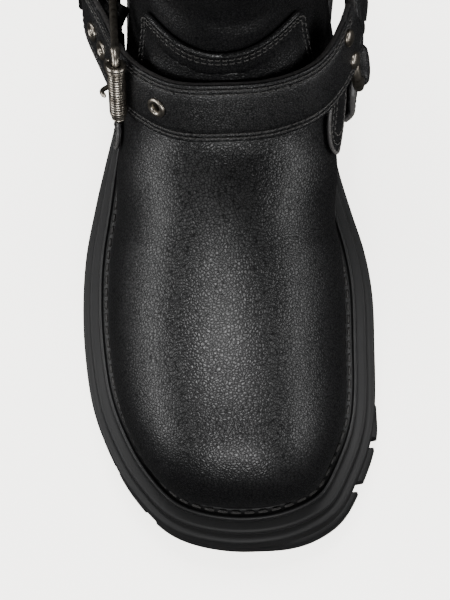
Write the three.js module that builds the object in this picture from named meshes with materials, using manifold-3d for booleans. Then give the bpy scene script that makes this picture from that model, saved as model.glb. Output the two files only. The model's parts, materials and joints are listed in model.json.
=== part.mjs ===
// Slouch boot for the right foot. Lengths are millimetres, +Z is up, the toe points along -Y,
// +X is the big-toe side, and the origin lies on the floor under the middle of the sole.
import * as THREE from "three";
import { mergeVertices } from "three/addons/utils/BufferGeometryUtils.js";
import Module from "manifold-3d";

const wasm = await Module();
wasm.setup();

// Driving sizes
const SOLE_LENGTH = 292;
const BALL_WIDTH = 118;
const BOOT_HEIGHT = 300;
const SHAFT_HALF_WIDTH = 51;
const RIM_FOREFOOT = 12.3;
const RIM_HEEL = 6.6;
const STEP_RISE = 6;
const WALL = 2.2;
const GAP = 0.3;
const HEEL_BREAST = 60;
const CENTRE_X = -1;

// Sole outline: side shares of the ball width, length shares of the sole length, toe first,
// then along the big-toe side to the heel and back along the little-toe side.
const SOLE_OUTLINE = [
  { side: 0.017, length: -0.5 },
  { side: 0.22, length: -0.492 },
  { side: 0.372, length: -0.459 },
  { side: 0.45, length: -0.404 },
  { side: 0.5, length: -0.338 },
  { side: 0.507, length: -0.219 },
  { side: 0.5, length: -0.147 },
  { side: 0.474, length: -0.089 },
  { side: 0.432, length: -0.034 },
  { side: 0.388, length: 0.027 },
  { side: 0.353, length: 0.1 },
  { side: 0.343, length: 0.178 },
  { side: 0.364, length: 0.274 },
  { side: 0.376, length: 0.353 },
  { side: 0.343, length: 0.425 },
  { side: 0.24, length: 0.479 },
  { side: 0.017, length: 0.5 },
  { side: -0.205, length: 0.479 },
  { side: -0.317, length: 0.425 },
  { side: -0.36, length: 0.353 },
  { side: -0.354, length: 0.26 },
  { side: -0.356, length: 0.178 },
  { side: -0.386, length: 0.103 },
  { side: -0.43, length: 0.027 },
  { side: -0.46, length: -0.034 },
  { side: -0.485, length: -0.1 },
  { side: -0.49, length: -0.17 },
  { side: -0.478, length: -0.24 },
  { side: -0.445, length: -0.315 },
  { side: -0.393, length: -0.37 },
  { side: -0.312, length: -0.426 },
  { side: -0.178, length: -0.479 },
];

// Levels along the sole: the underside and the top of the outsole, as shares of the boot height.
const SOLE_LEVELS = [
  { length: -0.5, under: 0.013, top: 0.089 },
  { length: -0.43, under: 0.004, top: 0.083 },
  { length: -0.35, under: 0, top: 0.08 },
  { length: -0.2, under: 0, top: 0.08 },
  { length: -0.05, under: 0, top: 0.08 },
  { length: 0.02, under: 0.006, top: 0.083 },
  { length: 0.09, under: 0.03, top: 0.094 },
  { length: 0.17, under: 0.043, top: 0.111 },
  { length: 0.23, under: 0.046, top: 0.124 },
  { length: 0.35, under: 0.046, top: 0.137 },
  { length: 0.5, under: 0.046, top: 0.142 },
];

// Sections of the upper fan out from the toe: each runs from a front point on the profile
// (front, rise) down to a point at the feather edge or, behind the heel, on the back seam (back, drop).
// full is the extra width over the feather edge, own blends to the width given by half,
// square below 1 makes the front half of the section boxier, and round is the length of the
// curved heel end as a share of half the section.
const UPPER_SECTIONS = [
  { front: -0.4578, rise: 0.137, back: -0.4578, drop: null, full: 0, own: 0, half: 0, square: 0.8, round: 1 },
  { front: -0.4626, rise: 0.156, back: -0.454, drop: null, full: 0.004, own: 0, half: 0, square: 0.78, round: 1 },
  { front: -0.4636, rise: 0.184, back: -0.4425, drop: null, full: 0.008, own: 0, half: 0, square: 0.76, round: 1 },
  { front: -0.459, rise: 0.216, back: -0.4225, drop: null, full: 0.01, own: 0, half: 0, square: 0.74, round: 1 },
  { front: -0.443, rise: 0.248, back: -0.395, drop: null, full: 0.01, own: 0, half: 0, square: 0.74, round: 1 },
  { front: -0.411, rise: 0.273, back: -0.355, drop: null, full: 0.008, own: 0, half: 0, square: 0.76, round: 1 },
  { front: -0.366, rise: 0.286, back: -0.308, drop: null, full: 0.005, own: 0, half: 0, square: 0.8, round: 1 },
  { front: -0.301, rise: 0.291, back: -0.247, drop: null, full: 0.003, own: 0, half: 0, square: 0.84, round: 1 },
  { front: -0.226, rise: 0.293, back: -0.171, drop: null, full: 0.002, own: 0, half: 0, square: 0.88, round: 1 },
  { front: -0.15, rise: 0.296, back: -0.096, drop: null, full: 0.004, own: 0, half: 0, square: 0.9, round: 1 },
  { front: -0.082, rise: 0.303, back: -0.02, drop: null, full: 0.02, own: 0.1, half: 0.83, square: 0.92, round: 0.97 },
  { front: -0.027, rise: 0.315, back: 0.055, drop: null, full: 0.02, own: 0.5, half: 0.82, square: 0.94, round: 0.9 },
  { front: 0.007, rise: 0.341, back: 0.123, drop: null, full: 0.02, own: 0.9, half: 0.8, square: 0.95, round: 0.82 },
  { front: 0.0325, rise: 0.37, back: 0.192, drop: null, full: 0.02, own: 1, half: 0.775, square: 0.96, round: 0.74 },
  { front: 0.053, rise: 0.403, back: 0.267, drop: null, full: 0.02, own: 1, half: 0.755, square: 0.97, round: 0.68 },
  { front: 0.065, rise: 0.44, back: 0.342, drop: null, full: 0.02, own: 1, half: 0.74, square: 0.98, round: 0.64 },
  { front: 0.0685, rise: 0.477, back: 0.411, drop: null, full: 0.02, own: 1, half: 0.73, square: 1, round: 0.62 },
  { front: 0.07, rise: 0.513, back: 0.4774, drop: 0.1815, full: 0.02, own: 1, half: 0.725, square: 1, round: 0.62 },
  { front: 0.07, rise: 0.553, back: 0.479, drop: 0.227, full: 0.02, own: 1, half: 0.72, square: 1, round: 0.63 },
  { front: 0.069, rise: 0.593, back: 0.476, drop: 0.28, full: 0.02, own: 1, half: 0.72, square: 1, round: 0.66 },
  { front: 0.067, rise: 0.633, back: 0.466, drop: 0.347, full: 0.02, own: 1, half: 0.735, square: 1, round: 0.7 },
  { front: 0.062, rise: 0.673, back: 0.456, drop: 0.42, full: 0.02, own: 1, half: 0.76, square: 1, round: 0.75 },
  { front: 0.056, rise: 0.713, back: 0.452, drop: 0.5, full: 0.02, own: 1, half: 0.8, square: 1, round: 0.8 },
  { front: 0.05, rise: 0.753, back: 0.452, drop: 0.587, full: 0.02, own: 1, half: 0.85, square: 1, round: 0.85 },
  { front: 0.044, rise: 0.8, back: 0.454, drop: 0.675, full: 0.02, own: 1, half: 0.9, square: 1, round: 0.9 },
  { front: 0.038, rise: 0.855, back: 0.458, drop: 0.77, full: 0.02, own: 1, half: 0.95, square: 1, round: 0.95 },
  { front: 0.033, rise: 0.925, back: 0.461, drop: 0.88, full: 0.02, own: 1, half: 0.98, square: 1, round: 1 },
  { front: 0.03, rise: 1, back: 0.463, drop: 1, full: 0.02, own: 1, half: 1, square: 1, round: 1 },
];
const HEEL_ROW = 17;
const MEDIAL_BULGE = 4.6;

// Folds of the slack shaft: level and band as shares of the boot height, turn in degrees round the
// shaft from the front towards the big-toe side, slope as level change per turn, depth in millimetres.
const FOLDS = [
  { level: 0.475, turn: -20, spread: 80, depth: -2.2, band: 0.032, slope: -0.03 },
  { level: 0.525, turn: 30, spread: 85, depth: -4, band: 0.032, slope: 0.05 },
  { level: 0.56, turn: -110, spread: 80, depth: -4, band: 0.032, slope: 0.04 },
  { level: 0.6, turn: 150, spread: 85, depth: -4, band: 0.032, slope: -0.06 },
  { level: 0.625, turn: -5, spread: 95, depth: -4.2, band: 0.032, slope: -0.05 },
  { level: 0.675, turn: 95, spread: 85, depth: -4, band: 0.032, slope: 0.04 },
  { level: 0.7, turn: -120, spread: 90, depth: -4.2, band: 0.032, slope: -0.05 },
  { level: 0.735, turn: 20, spread: 90, depth: -4, band: 0.032, slope: 0.05 },
  { level: 0.785, turn: 180, spread: 95, depth: -3.8, band: 0.032, slope: 0.04 },
  { level: 0.82, turn: -40, spread: 90, depth: -4, band: 0.032, slope: -0.04 },
  { level: 0.86, turn: 90, spread: 80, depth: -2.6, band: 0.03, slope: 0.02 },
];

// Small tools
function material(color, roughness, metalness) {
  return new THREE.MeshStandardMaterial({ color, roughness, metalness });
}

const LEATHER = material(0x242427, 0.55, 0);
const RUBBER = material(0x1f2022, 0.75, 0);
const FOOTBED = material(0x3a322b, 0.85, 0);
const METAL = material(0x9b958c, 0.35, 1);

// Smooth interpolation through a table: rows are even steps of t, or sorted by the column x.
function hermite(p0, p1, p2, p3, u) {
  const m1 = (p2 - p0) / 2;
  const m2 = (p3 - p1) / 2;
  const a = 2 * u ** 3 - 3 * u ** 2 + 1;
  const b = u ** 3 - 2 * u ** 2 + u;
  const c = -2 * u ** 3 + 3 * u ** 2;
  const d = u ** 3 - u ** 2;
  return a * p1 + b * m1 + c * p2 + d * m2;
}

function along(list, t) {
  const n = list.length - 1;
  const at = Math.min(Math.max(t, 0), n - 1e-9);
  const i = Math.floor(at);
  const get = (k) => list[Math.min(Math.max(k, 0), n)];
  return hermite(get(i - 1), get(i), get(i + 1), get(i + 2), at - i);
}

function lookUp(rows, key, value, x) {
  const n = rows.length - 1;
  if (x <= rows[0][key]) return rows[0][value];
  if (x >= rows[n][key]) return rows[n][value];
  let i = 0;
  while (rows[i + 1][key] < x) i += 1;
  const u = (x - rows[i][key]) / (rows[i + 1][key] - rows[i][key]);
  const s = u * u * (3 - 2 * u) * 0.35 + u * 0.65;
  return rows[i][value] + (rows[i + 1][value] - rows[i][value]) * s;
}

function smooth(a, b, x) {
  const u = Math.min(Math.max((x - a) / (b - a), 0), 1);
  return u * u * (3 - 2 * u);
}

// A closed body from triangles: equal points are joined, empty triangles dropped, faces turned out.
function body(points, triangles) {
  const position = new Float32Array(triangles.length * 3);
  triangles.forEach((index, k) => {
    position[3 * k] = points[index].x;
    position[3 * k + 1] = points[index].y;
    position[3 * k + 2] = points[index].z;
  });
  let geometry = new THREE.BufferGeometry();
  geometry.setAttribute("position", new THREE.BufferAttribute(position, 3));
  geometry = mergeVertices(geometry, 1e-3);
  const source = geometry.index.array;
  const p = geometry.attributes.position;
  const kept = [];
  let volume = 0;
  const a = new THREE.Vector3();
  const b = new THREE.Vector3();
  const c = new THREE.Vector3();
  for (let i = 0; i < source.length; i += 3) {
    const [u, v, w] = [source[i], source[i + 1], source[i + 2]];
    if (u === v || v === w || w === u) continue;
    kept.push(u, v, w);
    a.fromBufferAttribute(p, u);
    b.fromBufferAttribute(p, v);
    c.fromBufferAttribute(p, w);
    volume += a.dot(b.cross(c)) / 6;
  }
  if (volume < 0) {
    for (let i = 0; i < kept.length; i += 3) {
      [kept[i], kept[i + 1]] = [kept[i + 1], kept[i]];
    }
  }
  geometry.setIndex(kept);
  return geometry;
}

// A loft through rows of points; each row is a closed loop of the same count.
function loft(rows, closed = false) {
  const m = rows[0].length;
  const points = rows.flat();
  const triangles = [];
  const last = closed ? rows.length : rows.length - 1;
  for (let i = 0; i < last; i += 1) {
    const next = (i + 1) % rows.length;
    for (let k = 0; k < m; k += 1) {
      const k2 = (k + 1) % m;
      const [a, b, c, d] = [i * m + k, i * m + k2, next * m + k2, next * m + k];
      triangles.push(a, b, c, a, c, d);
    }
  }
  if (!closed) {
    for (let k = 1; k < m - 1; k += 1) {
      triangles.push(0, k + 1, k);
      const base = (rows.length - 1) * m;
      triangles.push(base, base + k, base + k + 1);
    }
  }
  return body(points, triangles);
}

function toSolid(geometry) {
  const bare = new THREE.BufferGeometry();
  bare.setAttribute("position", geometry.attributes.position.clone());
  if (geometry.index) bare.setIndex(geometry.index.clone());
  const merged = mergeVertices(bare, 1e-4);
  const mesh = new wasm.Mesh({
    numProp: 3,
    vertProperties: new Float32Array(merged.attributes.position.array),
    triVerts: new Uint32Array(merged.index.array),
  });
  return new wasm.Manifold(mesh);
}

function fromSolid(solid) {
  const mesh = solid.getMesh();
  const geometry = new THREE.BufferGeometry();
  geometry.setAttribute("position", new THREE.BufferAttribute(new Float32Array(mesh.vertProperties), 3));
  geometry.setIndex(new THREE.BufferAttribute(new Uint32Array(mesh.triVerts), 1));
  return geometry;
}

function box(width, depth, height, x, y, z, turn = 0) {
  const geometry = new THREE.BoxGeometry(width, depth, height);
  geometry.deleteAttribute("normal");
  geometry.deleteAttribute("uv");
  geometry.rotateZ(turn);
  geometry.translate(x, y, z);
  return toSolid(geometry);
}

// Sole outline, its inward offsets and its levels
const OUTLINE_STEPS = 80;
const outlineCurve = new THREE.CatmullRomCurve3(
  SOLE_OUTLINE.map((p) => new THREE.Vector3(p.side * BALL_WIDTH, p.length * SOLE_LENGTH, 0)),
  true,
  "centripetal",
);
const outlinePoints = outlineCurve.getSpacedPoints(OUTLINE_STEPS).slice(0, OUTLINE_STEPS);
const outlineNormals = outlinePoints.map((p, i) => {
  const before = outlinePoints[(i + OUTLINE_STEPS - 1) % OUTLINE_STEPS];
  const after = outlinePoints[(i + 1) % OUTLINE_STEPS];
  return new THREE.Vector3(before.y - after.y, after.x - before.x, 0).normalize();
});

const featherInset = (y) => RIM_FOREFOOT + (RIM_HEEL - RIM_FOREFOOT) * smooth(-25, 45, y);
const outline = (share, extra) =>
  outlinePoints.map((p, i) => p.clone().addScaledVector(outlineNormals[i], featherInset(p.y) * share + extra));
const underLevel = (y) => lookUp(SOLE_LEVELS, "length", "under", y / SOLE_LENGTH) * BOOT_HEIGHT;
const topLevel = (y) => lookUp(SOLE_LEVELS, "length", "top", y / SOLE_LENGTH) * BOOT_HEIGHT;
const featherLevel = (y) => topLevel(y) + 2 * STEP_RISE;

// Left and right side of an outline at one length
function sides(points, y) {
  let left = Infinity;
  let right = -Infinity;
  points.forEach((p, i) => {
    const q = points[(i + 1) % points.length];
    if ((p.y - y) * (q.y - y) > 0 || p.y === q.y) return;
    const x = p.x + ((q.x - p.x) * (y - p.y)) / (q.y - p.y);
    left = Math.min(left, x);
    right = Math.max(right, x);
  });
  return [left, right];
}

// A slab inside an outline between two levels
function slab(points, low, high, count, from = -Infinity, to = Infinity) {
  const ys = points.map((p) => p.y);
  const start = Math.max(Math.min(...ys) + 0.12, from);
  const end = Math.min(Math.max(...ys) - 0.12, to);
  const rows = [];
  for (let i = 0; i <= count; i += 1) {
    const y = start + ((end - start) * (1 - Math.cos((Math.PI * i) / count))) / 2;
    const [left, right] = sides(points, y);
    const across = [left, left + (right - left) * 0.5, right];
    rows.push([
      ...across.map((x) => new THREE.Vector3(x, y, low(y))),
      ...across.reverse().map((x) => new THREE.Vector3(x, y, high(y))),
    ]);
  }
  return loft(rows);
}

// A ring that follows the outline: the profile is a closed loop of share, extra inset and rise
function ring(profile, level) {
  const loops = profile.map((p) => outline(p.share, p.extra));
  const rows = outlinePoints.map((_, i) =>
    profile.map((p, k) => new THREE.Vector3(loops[k][i].x, loops[k][i].y, level(loops[k][i].y) + p.rise)),
  );
  return loft(rows, true);
}

// Outsole: sole body, heel block and lugs between cut channels
const soleBody = toSolid(slab(outline(0, 0), underLevel, topLevel, 44));
const heelStack = toSolid(
  slab(outline(0, 0.8), () => 8, (y) => underLevel(y) + 4, 24, HEEL_BREAST, SOLE_LENGTH),
);
const heelLift = toSolid(slab(outline(0, 0), () => 0, () => 9, 24, HEEL_BREAST - 0.6, SOLE_LENGTH));
let outsoleSolid = soleBody.add(heelStack).add(heelLift);
const LUG_PITCH = 17;
const LUG_CHANNEL = 5;
for (let row = 0; row < 8; row += 1) {
  const y = -128 + row * LUG_PITCH;
  for (const side of [-1, 1]) {
    const edge = side < 0 ? -60 : 61;
    const low = underLevel(y);
    outsoleSolid = outsoleSolid.subtract(
      box(76, LUG_CHANNEL, 12, edge - side * 2, y + (side < 0 ? 0 : LUG_PITCH / 2), low, side * 0.16),
    );
  }
}
for (let row = 0; row < 3; row += 1) {
  for (const side of [-1, 1]) {
    outsoleSolid = outsoleSolid.subtract(
      box(44, LUG_CHANNEL, 9, 2 + side * 42, 78 + row * 20, 0, side * 0.12),
    );
  }
}

// Midsole, welt with its stitch channel, and the footbed
const midsole = slab(outline(0.27, 0), (y) => topLevel(y) + GAP, (y) => topLevel(y) + STEP_RISE, 44);
const welt = ring(
  [
    { share: 0.61, extra: 0, rise: STEP_RISE + GAP },
    { share: 0.61, extra: 0, rise: 2 * STEP_RISE - 0.8 },
    { share: 0.64, extra: 0.3, rise: 2 * STEP_RISE - GAP },
    { share: 0.77, extra: 0, rise: 2 * STEP_RISE - GAP },
    { share: 0.8, extra: 0, rise: 2 * STEP_RISE - 1.5 },
    { share: 0.97, extra: 0, rise: 2 * STEP_RISE - 1.5 },
    { share: 1, extra: 0, rise: 2 * STEP_RISE - 0.7 },
    { share: 1, extra: WALL + 0.6, rise: 2 * STEP_RISE - 0.7 },
    { share: 1, extra: WALL + 0.6, rise: STEP_RISE + GAP },
  ],
  topLevel,
);
const insole = slab(
  outline(1, WALL + 2.2),
  (y) => topLevel(y) + STEP_RISE + GAP,
  (y) => featherLevel(y) + 2.4,
  36,
);

// Upper: outer surface as a function of the section s and the turn v,
// v = -1 at the little-toe side's edge, 0 on the ridge and 1 at the big-toe side's edge
const featherLine = outline(1, 0);
const column = (name, s) => along(UPPER_SECTIONS.map((row) => row[name]), s);
const DROPS = UPPER_SECTIONS.map((row) =>
  row.drop === null ? featherLevel(row.back * SOLE_LENGTH) / BOOT_HEIGHT : row.drop,
);

function foldDepth(level, turn) {
  let depth = 0;
  for (const fold of FOLDS) {
    let away = turn - fold.turn;
    while (away > 180) away -= 360;
    while (away < -180) away += 360;
    const reach = Math.max(0, 1 - (away / fold.spread) ** 2);
    const off = (level - fold.level - (fold.slope * away) / 90) / fold.band;
    const trough = Math.exp(-off * off);
    const ridge = Math.exp(-((off - 2.1) ** 2)) + Math.exp(-((off + 2.1) ** 2));
    depth += fold.depth * reach * reach * (trough - 0.35 * ridge);
  }
  return depth * smooth(1, 0.93, level);
}

function upperPoint(s, v) {
  const back = column("back", s) * SOLE_LENGTH;
  const front = new THREE.Vector3(0, column("front", s) * SOLE_LENGTH, column("rise", s) * BOOT_HEIGHT);
  const foot = new THREE.Vector3(0, back, 0);
  foot.z = s <= HEEL_ROW ? featherLevel(back) : along(DROPS, s) * BOOT_HEIGHT;
  let [left, right] = [0, 0];
  if (s < HEEL_ROW) [left, right] = sides(featherLine, back);
  if (!Number.isFinite(left)) [left, right] = [2, 2];
  const own = Math.min(Math.max(column("own", s), 0), 1);
  const middle = s < HEEL_ROW ? (left + right) / 2 : 2;
  const width = s > 0 && s < HEEL_ROW ? (right - left) / 2 : 0;
  const half = (1 - own) * (width + column("full", s) * SHAFT_HALF_WIDTH)
    + own * column("half", s) * SHAFT_HALF_WIDTH;
  const reach = s > 0 ? Math.max(half, width + 0.05) : 0;
  const round = column("round", s);
  const open = s > 0 ? Math.min(1, width / reach) : 1;
  const startCos = 1 - round * (1 - Math.sqrt(1 - open * open));
  const start = Math.acos(startCos);
  const phi = start + (Math.PI - start) * (1 - Math.abs(v));
  const r = (startCos - Math.cos(phi)) / (startCos + 1);
  const heelEnd = Math.max(0, 1 - (1 - Math.cos(phi)) / round);
  const shape = phi < Math.PI / 2 ? Math.sqrt(1 - heelEnd ** 2) : Math.max(Math.sin(phi), 0) ** column("square", s);
  const bulge = v > 0 ? MEDIAL_BULGE * smooth(7, 11, s) * smooth(15, 12, s) * smooth(0, 0.25, r) : 0;
  const side = Math.sign(v) * (reach + bulge) * shape;
  const centre = middle + (2 + 2 * smooth(17, 27, s) - middle) * smooth(6, 17, s) * Math.min(1, r * 3);
  const point = foot.clone().lerp(front, r);
  point.x = centre + side;
  const level = point.z / BOOT_HEIGHT;
  if (level > 0.4) {
    const axis = (front.y + foot.y) / 2;
    const turn = (Math.atan2(point.x - centre, axis - point.y) * 180) / Math.PI;
    const out = new THREE.Vector3(point.x - centre, point.y - axis, 0).normalize();
    point.addScaledVector(out, foldDepth(level, turn));
  }
  return point;
}

function upperNormal(s, v) {
  const e = 0.02;
  const ds = upperPoint(Math.min(s + e, 27), v).sub(upperPoint(Math.max(s - e, 0), v));
  const dv = upperPoint(s, Math.min(v + e, 1)).sub(upperPoint(s, Math.max(v - e, -1)));
  return ds.cross(dv).normalize().negate();
}

// The wall as one closed solid
const FINE_BEFORE = 6;
const FINE_AFTER = 18;
const HEEL_STOPS = [15.5, 16.4, 16.7, 16.87, 16.96];
const TURN_STEPS = 24;
function upperSolid() {
  const stops = [];
  for (let s = 0; s < UPPER_SECTIONS.length - 1; s += 1) {
    stops.push(s);
    if (s < FINE_BEFORE || s >= FINE_AFTER) stops.push(s + 0.5);
  }
  stops.push(UPPER_SECTIONS.length - 1, ...HEEL_STOPS);
  stops.sort((a, b) => a - b);
  const count = stops.length - 1;
  const width = TURN_STEPS + 1;
  const outer = [];
  for (const s of stops) {
    for (let k = 0; k < width; k += 1) {
      outer.push(upperPoint(s, (2 * k) / TURN_STEPS - 1));
    }
  }
  const faces = [];
  for (let i = 0; i < count; i += 1) {
    for (let k = 0; k < TURN_STEPS; k += 1) {
      const [a, b, c, d] = [i * width + k, i * width + k + 1, (i + 1) * width + k + 1, (i + 1) * width + k];
      faces.push(a, b, c, a, c, d);
    }
  }
  // normals of the joined surface
  const sum = new Map();
  const name = (p) => p.toArray().map((v) => Math.round(v * 50)).join(",");
  for (let i = 0; i < faces.length; i += 3) {
    const [a, b, c] = [outer[faces[i]], outer[faces[i + 1]], outer[faces[i + 2]]];
    const normal = b.clone().sub(a).cross(c.clone().sub(a));
    for (const p of [a, b, c]) {
      const key = name(p);
      if (!sum.has(key)) sum.set(key, new THREE.Vector3());
      sum.get(key).add(normal);
    }
  }
  const heel = stops.indexOf(HEEL_ROW);
  const inward = sum.get(name(outer[(8 * width) + TURN_STEPS / 2])).z > 0 ? -1 : 1;
  const inner = outer.map((p, index) => {
    const normal = sum.get(name(p)).clone();
    const row = Math.floor(index / width);
    const turn = index % width;
    const edge = (turn === 0 || turn === TURN_STEPS) && row <= heel;
    if (edge || row === count || row === 0) normal.z = 0;
    return p.clone().addScaledVector(normal.normalize(), inward * WALL);
  });
  const total = outer.length;
  const triangles = [...faces];
  for (let i = 0; i < faces.length; i += 3) {
    triangles.push(faces[i] + total, faces[i + 2] + total, faces[i + 1] + total);
  }
  for (let i = 0; i < heel; i += 1) {
    for (const k of [0, TURN_STEPS]) {
      const [a, b] = [i * width + k, (i + 1) * width + k];
      const quad = [a, b, b + total, a, b + total, a + total];
      triangles.push(...(k === 0 ? quad : quad.reverse()));
    }
  }
  for (let k = 0; k < TURN_STEPS; k += 1) {
    const [a, b] = [count * width + k, count * width + k + 1];
    triangles.push(a, b, b + total, a, b + total, a + total);
  }
  return body([...outer, ...inner], triangles);
}

// Harness: straps are loops of four corners swept along a smooth path. side, length and level are
// shares of the ball width, the sole length and the boot height; lean is the direction across the
// strap and wide its breadth as a share of the strap width.
const STRAP_WIDTH = 25;
const STRAP_THICK = 3.2;
const RING_RADIUS = 13;
const WIRE = 2;
const LOOP_RADIUS = 4.7;
const ROLLER_RADIUS = 3.4;
const EYELET_PITCH = 11.5;

const RINGS = {
  medial: { side: 0.437, length: 0.132, level: 0.247, turn: 4 },
  lateral: { side: -0.382, length: 0.218, level: 0.243, turn: 176 },
};

const STRAP_PATHS = {
  front: [
    { side: 0.432, length: 0.144, level: 0.312, leanX: -0.12, leanY: 0.55, leanZ: 0.83, wide: 1 },
    { side: 0.405, length: 0.108, level: 0.322, leanX: -0.12, leanY: 0.52, leanZ: 0.85, wide: 1 },
    { side: 0.356, length: 0.068, level: 0.334, leanX: -0.08, leanY: 0.52, leanZ: 0.85, wide: 1 },
    { side: 0.28, length: 0.038, level: 0.345, leanX: -0.04, leanY: 0.56, leanZ: 0.83, wide: 1 },
    { side: 0.16, length: 0.018, level: 0.354, leanX: 0, leanY: 0.58, leanZ: 0.81, wide: 1 },
    { side: 0.02, length: 0.013, level: 0.3585, leanX: 0, leanY: 0.59, leanZ: 0.81, wide: 1 },
    { side: -0.12, length: 0.02, level: 0.352, leanX: 0, leanY: 0.58, leanZ: 0.81, wide: 1 },
    { side: -0.228, length: 0.05, level: 0.333, leanX: 0, leanY: 0.57, leanZ: 0.82, wide: 1 },
    { side: -0.3, length: 0.084, level: 0.311, leanX: 0.06, leanY: 0.55, leanZ: 0.83, wide: 1 },
    { side: -0.357, length: 0.115, level: 0.293, leanX: 0.08, leanY: 0.52, leanZ: 0.85, wide: 1 },
    { side: -0.405, length: 0.15, level: 0.277, leanX: 0.08, leanY: 0.48, leanZ: 0.87, wide: 1 },
    { side: -0.446, length: 0.19, level: 0.264, leanX: 0.06, leanY: 0.42, leanZ: 0.9, wide: 1 },
    { side: -0.459, length: 0.228, level: 0.257, leanX: 0.05, leanY: 0.38, leanZ: 0.92, wide: 0.93 },
    { side: -0.461, length: 0.245, level: 0.255, leanX: 0.05, leanY: 0.36, leanZ: 0.93, wide: 0.6 },
  ],
  heel: [
    { side: 0.44, length: 0.178, level: 0.252, leanX: -0.2, leanY: 0.05, leanZ: 0.98, wide: 0.72 },
    { side: 0.44, length: 0.212, level: 0.263, leanX: -0.22, leanY: 0, leanZ: 0.98, wide: 0.95 },
    { side: 0.412, length: 0.28, level: 0.285, leanX: -0.14, leanY: -0.05, leanZ: 0.99, wide: 1 },
    { side: 0.36, length: 0.36, level: 0.298, leanX: -0.07, leanY: -0.08, leanZ: 0.99, wide: 1 },
    { side: 0.25, length: 0.44, level: 0.306, leanX: -0.03, leanY: -0.09, leanZ: 0.99, wide: 1 },
    { side: 0.017, length: 0.482, level: 0.31, leanX: 0, leanY: -0.1, leanZ: 0.99, wide: 1 },
    { side: -0.21, length: 0.44, level: 0.305, leanX: 0.03, leanY: -0.09, leanZ: 0.99, wide: 1 },
    { side: -0.315, length: 0.365, level: 0.292, leanX: 0.07, leanY: -0.08, leanZ: 0.99, wide: 1 },
    { side: -0.366, length: 0.31, level: 0.268, leanX: 0.1, leanY: 0, leanZ: 0.99, wide: 0.95 },
    { side: -0.386, length: 0.263, level: 0.25, leanX: 0.05, leanY: 0.05, leanZ: 0.99, wide: 0.72 },
  ],
  lowerMedial: [
    { side: 0.441, length: 0.132, level: 0.205, leanX: 0.1, leanY: 1, leanZ: 0, wide: 0.72 },
    { side: 0.438, length: 0.124, level: 0.188, leanX: 0.14, leanY: 0.98, leanZ: 0, wide: 0.95 },
    { side: 0.423, length: 0.114, level: 0.168, leanX: 0.16, leanY: 0.98, leanZ: 0, wide: 1 },
    { side: 0.388, length: 0.105, level: 0.151, leanX: 0.16, leanY: 0.98, leanZ: 0, wide: 1 },
  ],
  lowerLateral: [
    { side: -0.394, length: 0.218, level: 0.201, leanX: 0, leanY: 1, leanZ: 0, wide: 0.72 },
    { side: -0.399, length: 0.212, level: 0.187, leanX: -0.05, leanY: 0.99, leanZ: 0, wide: 0.95 },
    { side: -0.39, length: 0.206, level: 0.174, leanX: -0.06, leanY: 0.99, leanZ: 0, wide: 1 },
    { side: -0.372, length: 0.2, level: 0.166, leanX: -0.06, leanY: 0.99, leanZ: 0, wide: 1 },
  ],
};

const ringCentre = (ring) =>
  new THREE.Vector3(ring.side * BALL_WIDTH, ring.length * SOLE_LENGTH, ring.level * BOOT_HEIGHT);

// Frames along a strap: centre, direction, across and outward
function strapFrames(rows, steps) {
  const centre = new THREE.CatmullRomCurve3(
    rows.map((p) => new THREE.Vector3(p.side * BALL_WIDTH, p.length * SOLE_LENGTH, p.level * BOOT_HEIGHT)),
  );
  const frames = [];
  const last = rows.length - 1;
  for (let i = 0; i <= steps; i += 1) {
    const t = i / steps;
    const get = (name) => along(rows.map((p) => p[name]), t * last);
    const tangent = centre.getTangent(t);
    const across = new THREE.Vector3(get("leanX"), get("leanY"), get("leanZ"));
    across.addScaledVector(tangent, -across.dot(tangent)).normalize();
    const out = tangent.clone().cross(across).normalize();
    frames.push({ at: centre.getPoint(t), tangent, across, out, wide: get("wide") * STRAP_WIDTH });
  }
  return frames;
}

// Upper surface samples, to lay straps and overlays clear of it
const SAMPLES = [];
for (let s = 8; s < 24; s += 0.25) {
  for (let v = -1; v <= 1.0001; v += 0.025) {
    SAMPLES.push({ at: upperPoint(s, v), normal: upperNormal(s, v) });
  }
}

function clearance(point) {
  let best = Infinity;
  let found = null;
  for (const sample of SAMPLES) {
    const d = sample.at.distanceToSquared(point);
    if (d < best) {
      best = d;
      found = sample;
    }
  }
  return { gap: point.clone().sub(found.at).dot(found.normal), normal: found.normal };
}

function strap(rows, steps, outward, doubled = () => 1) {
  const frames = strapFrames(rows, steps);
  frames.forEach((frame) => {
    if (frame.out.dot(outward(frame.at)) < 0) frame.out.negate();
  });
  frames.forEach((frame, i) => {
    const thick = STRAP_THICK * doubled(i / steps);
    frame.thick = thick;
    for (let round = 0; round < 3; round += 1) {
      let lack = 0;
      for (const share of [-0.5, -0.25, 0, 0.25, 0.5]) {
        const inner = frame.at.clone()
          .addScaledVector(frame.across, share * frame.wide)
          .addScaledVector(frame.out, -thick / 2);
        lack = Math.max(lack, (inner.x > 28 ? 2.9 : 0.9) - clearance(inner).gap);
      }
      frame.at.addScaledVector(frame.out, lack);
    }
  });
  const rowsOut = frames.map((frame) =>
    [[-0.5, -0.5], [0.5, -0.5], [0.5, 0.5], [-0.5, 0.5]].map(([a, b]) =>
      frame.at.clone()
        .addScaledVector(frame.across, a * frame.wide)
        .addScaledVector(frame.out, b * frame.thick),
    ),
  );
  return { geometry: loft(rowsOut), frames };
}

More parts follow.
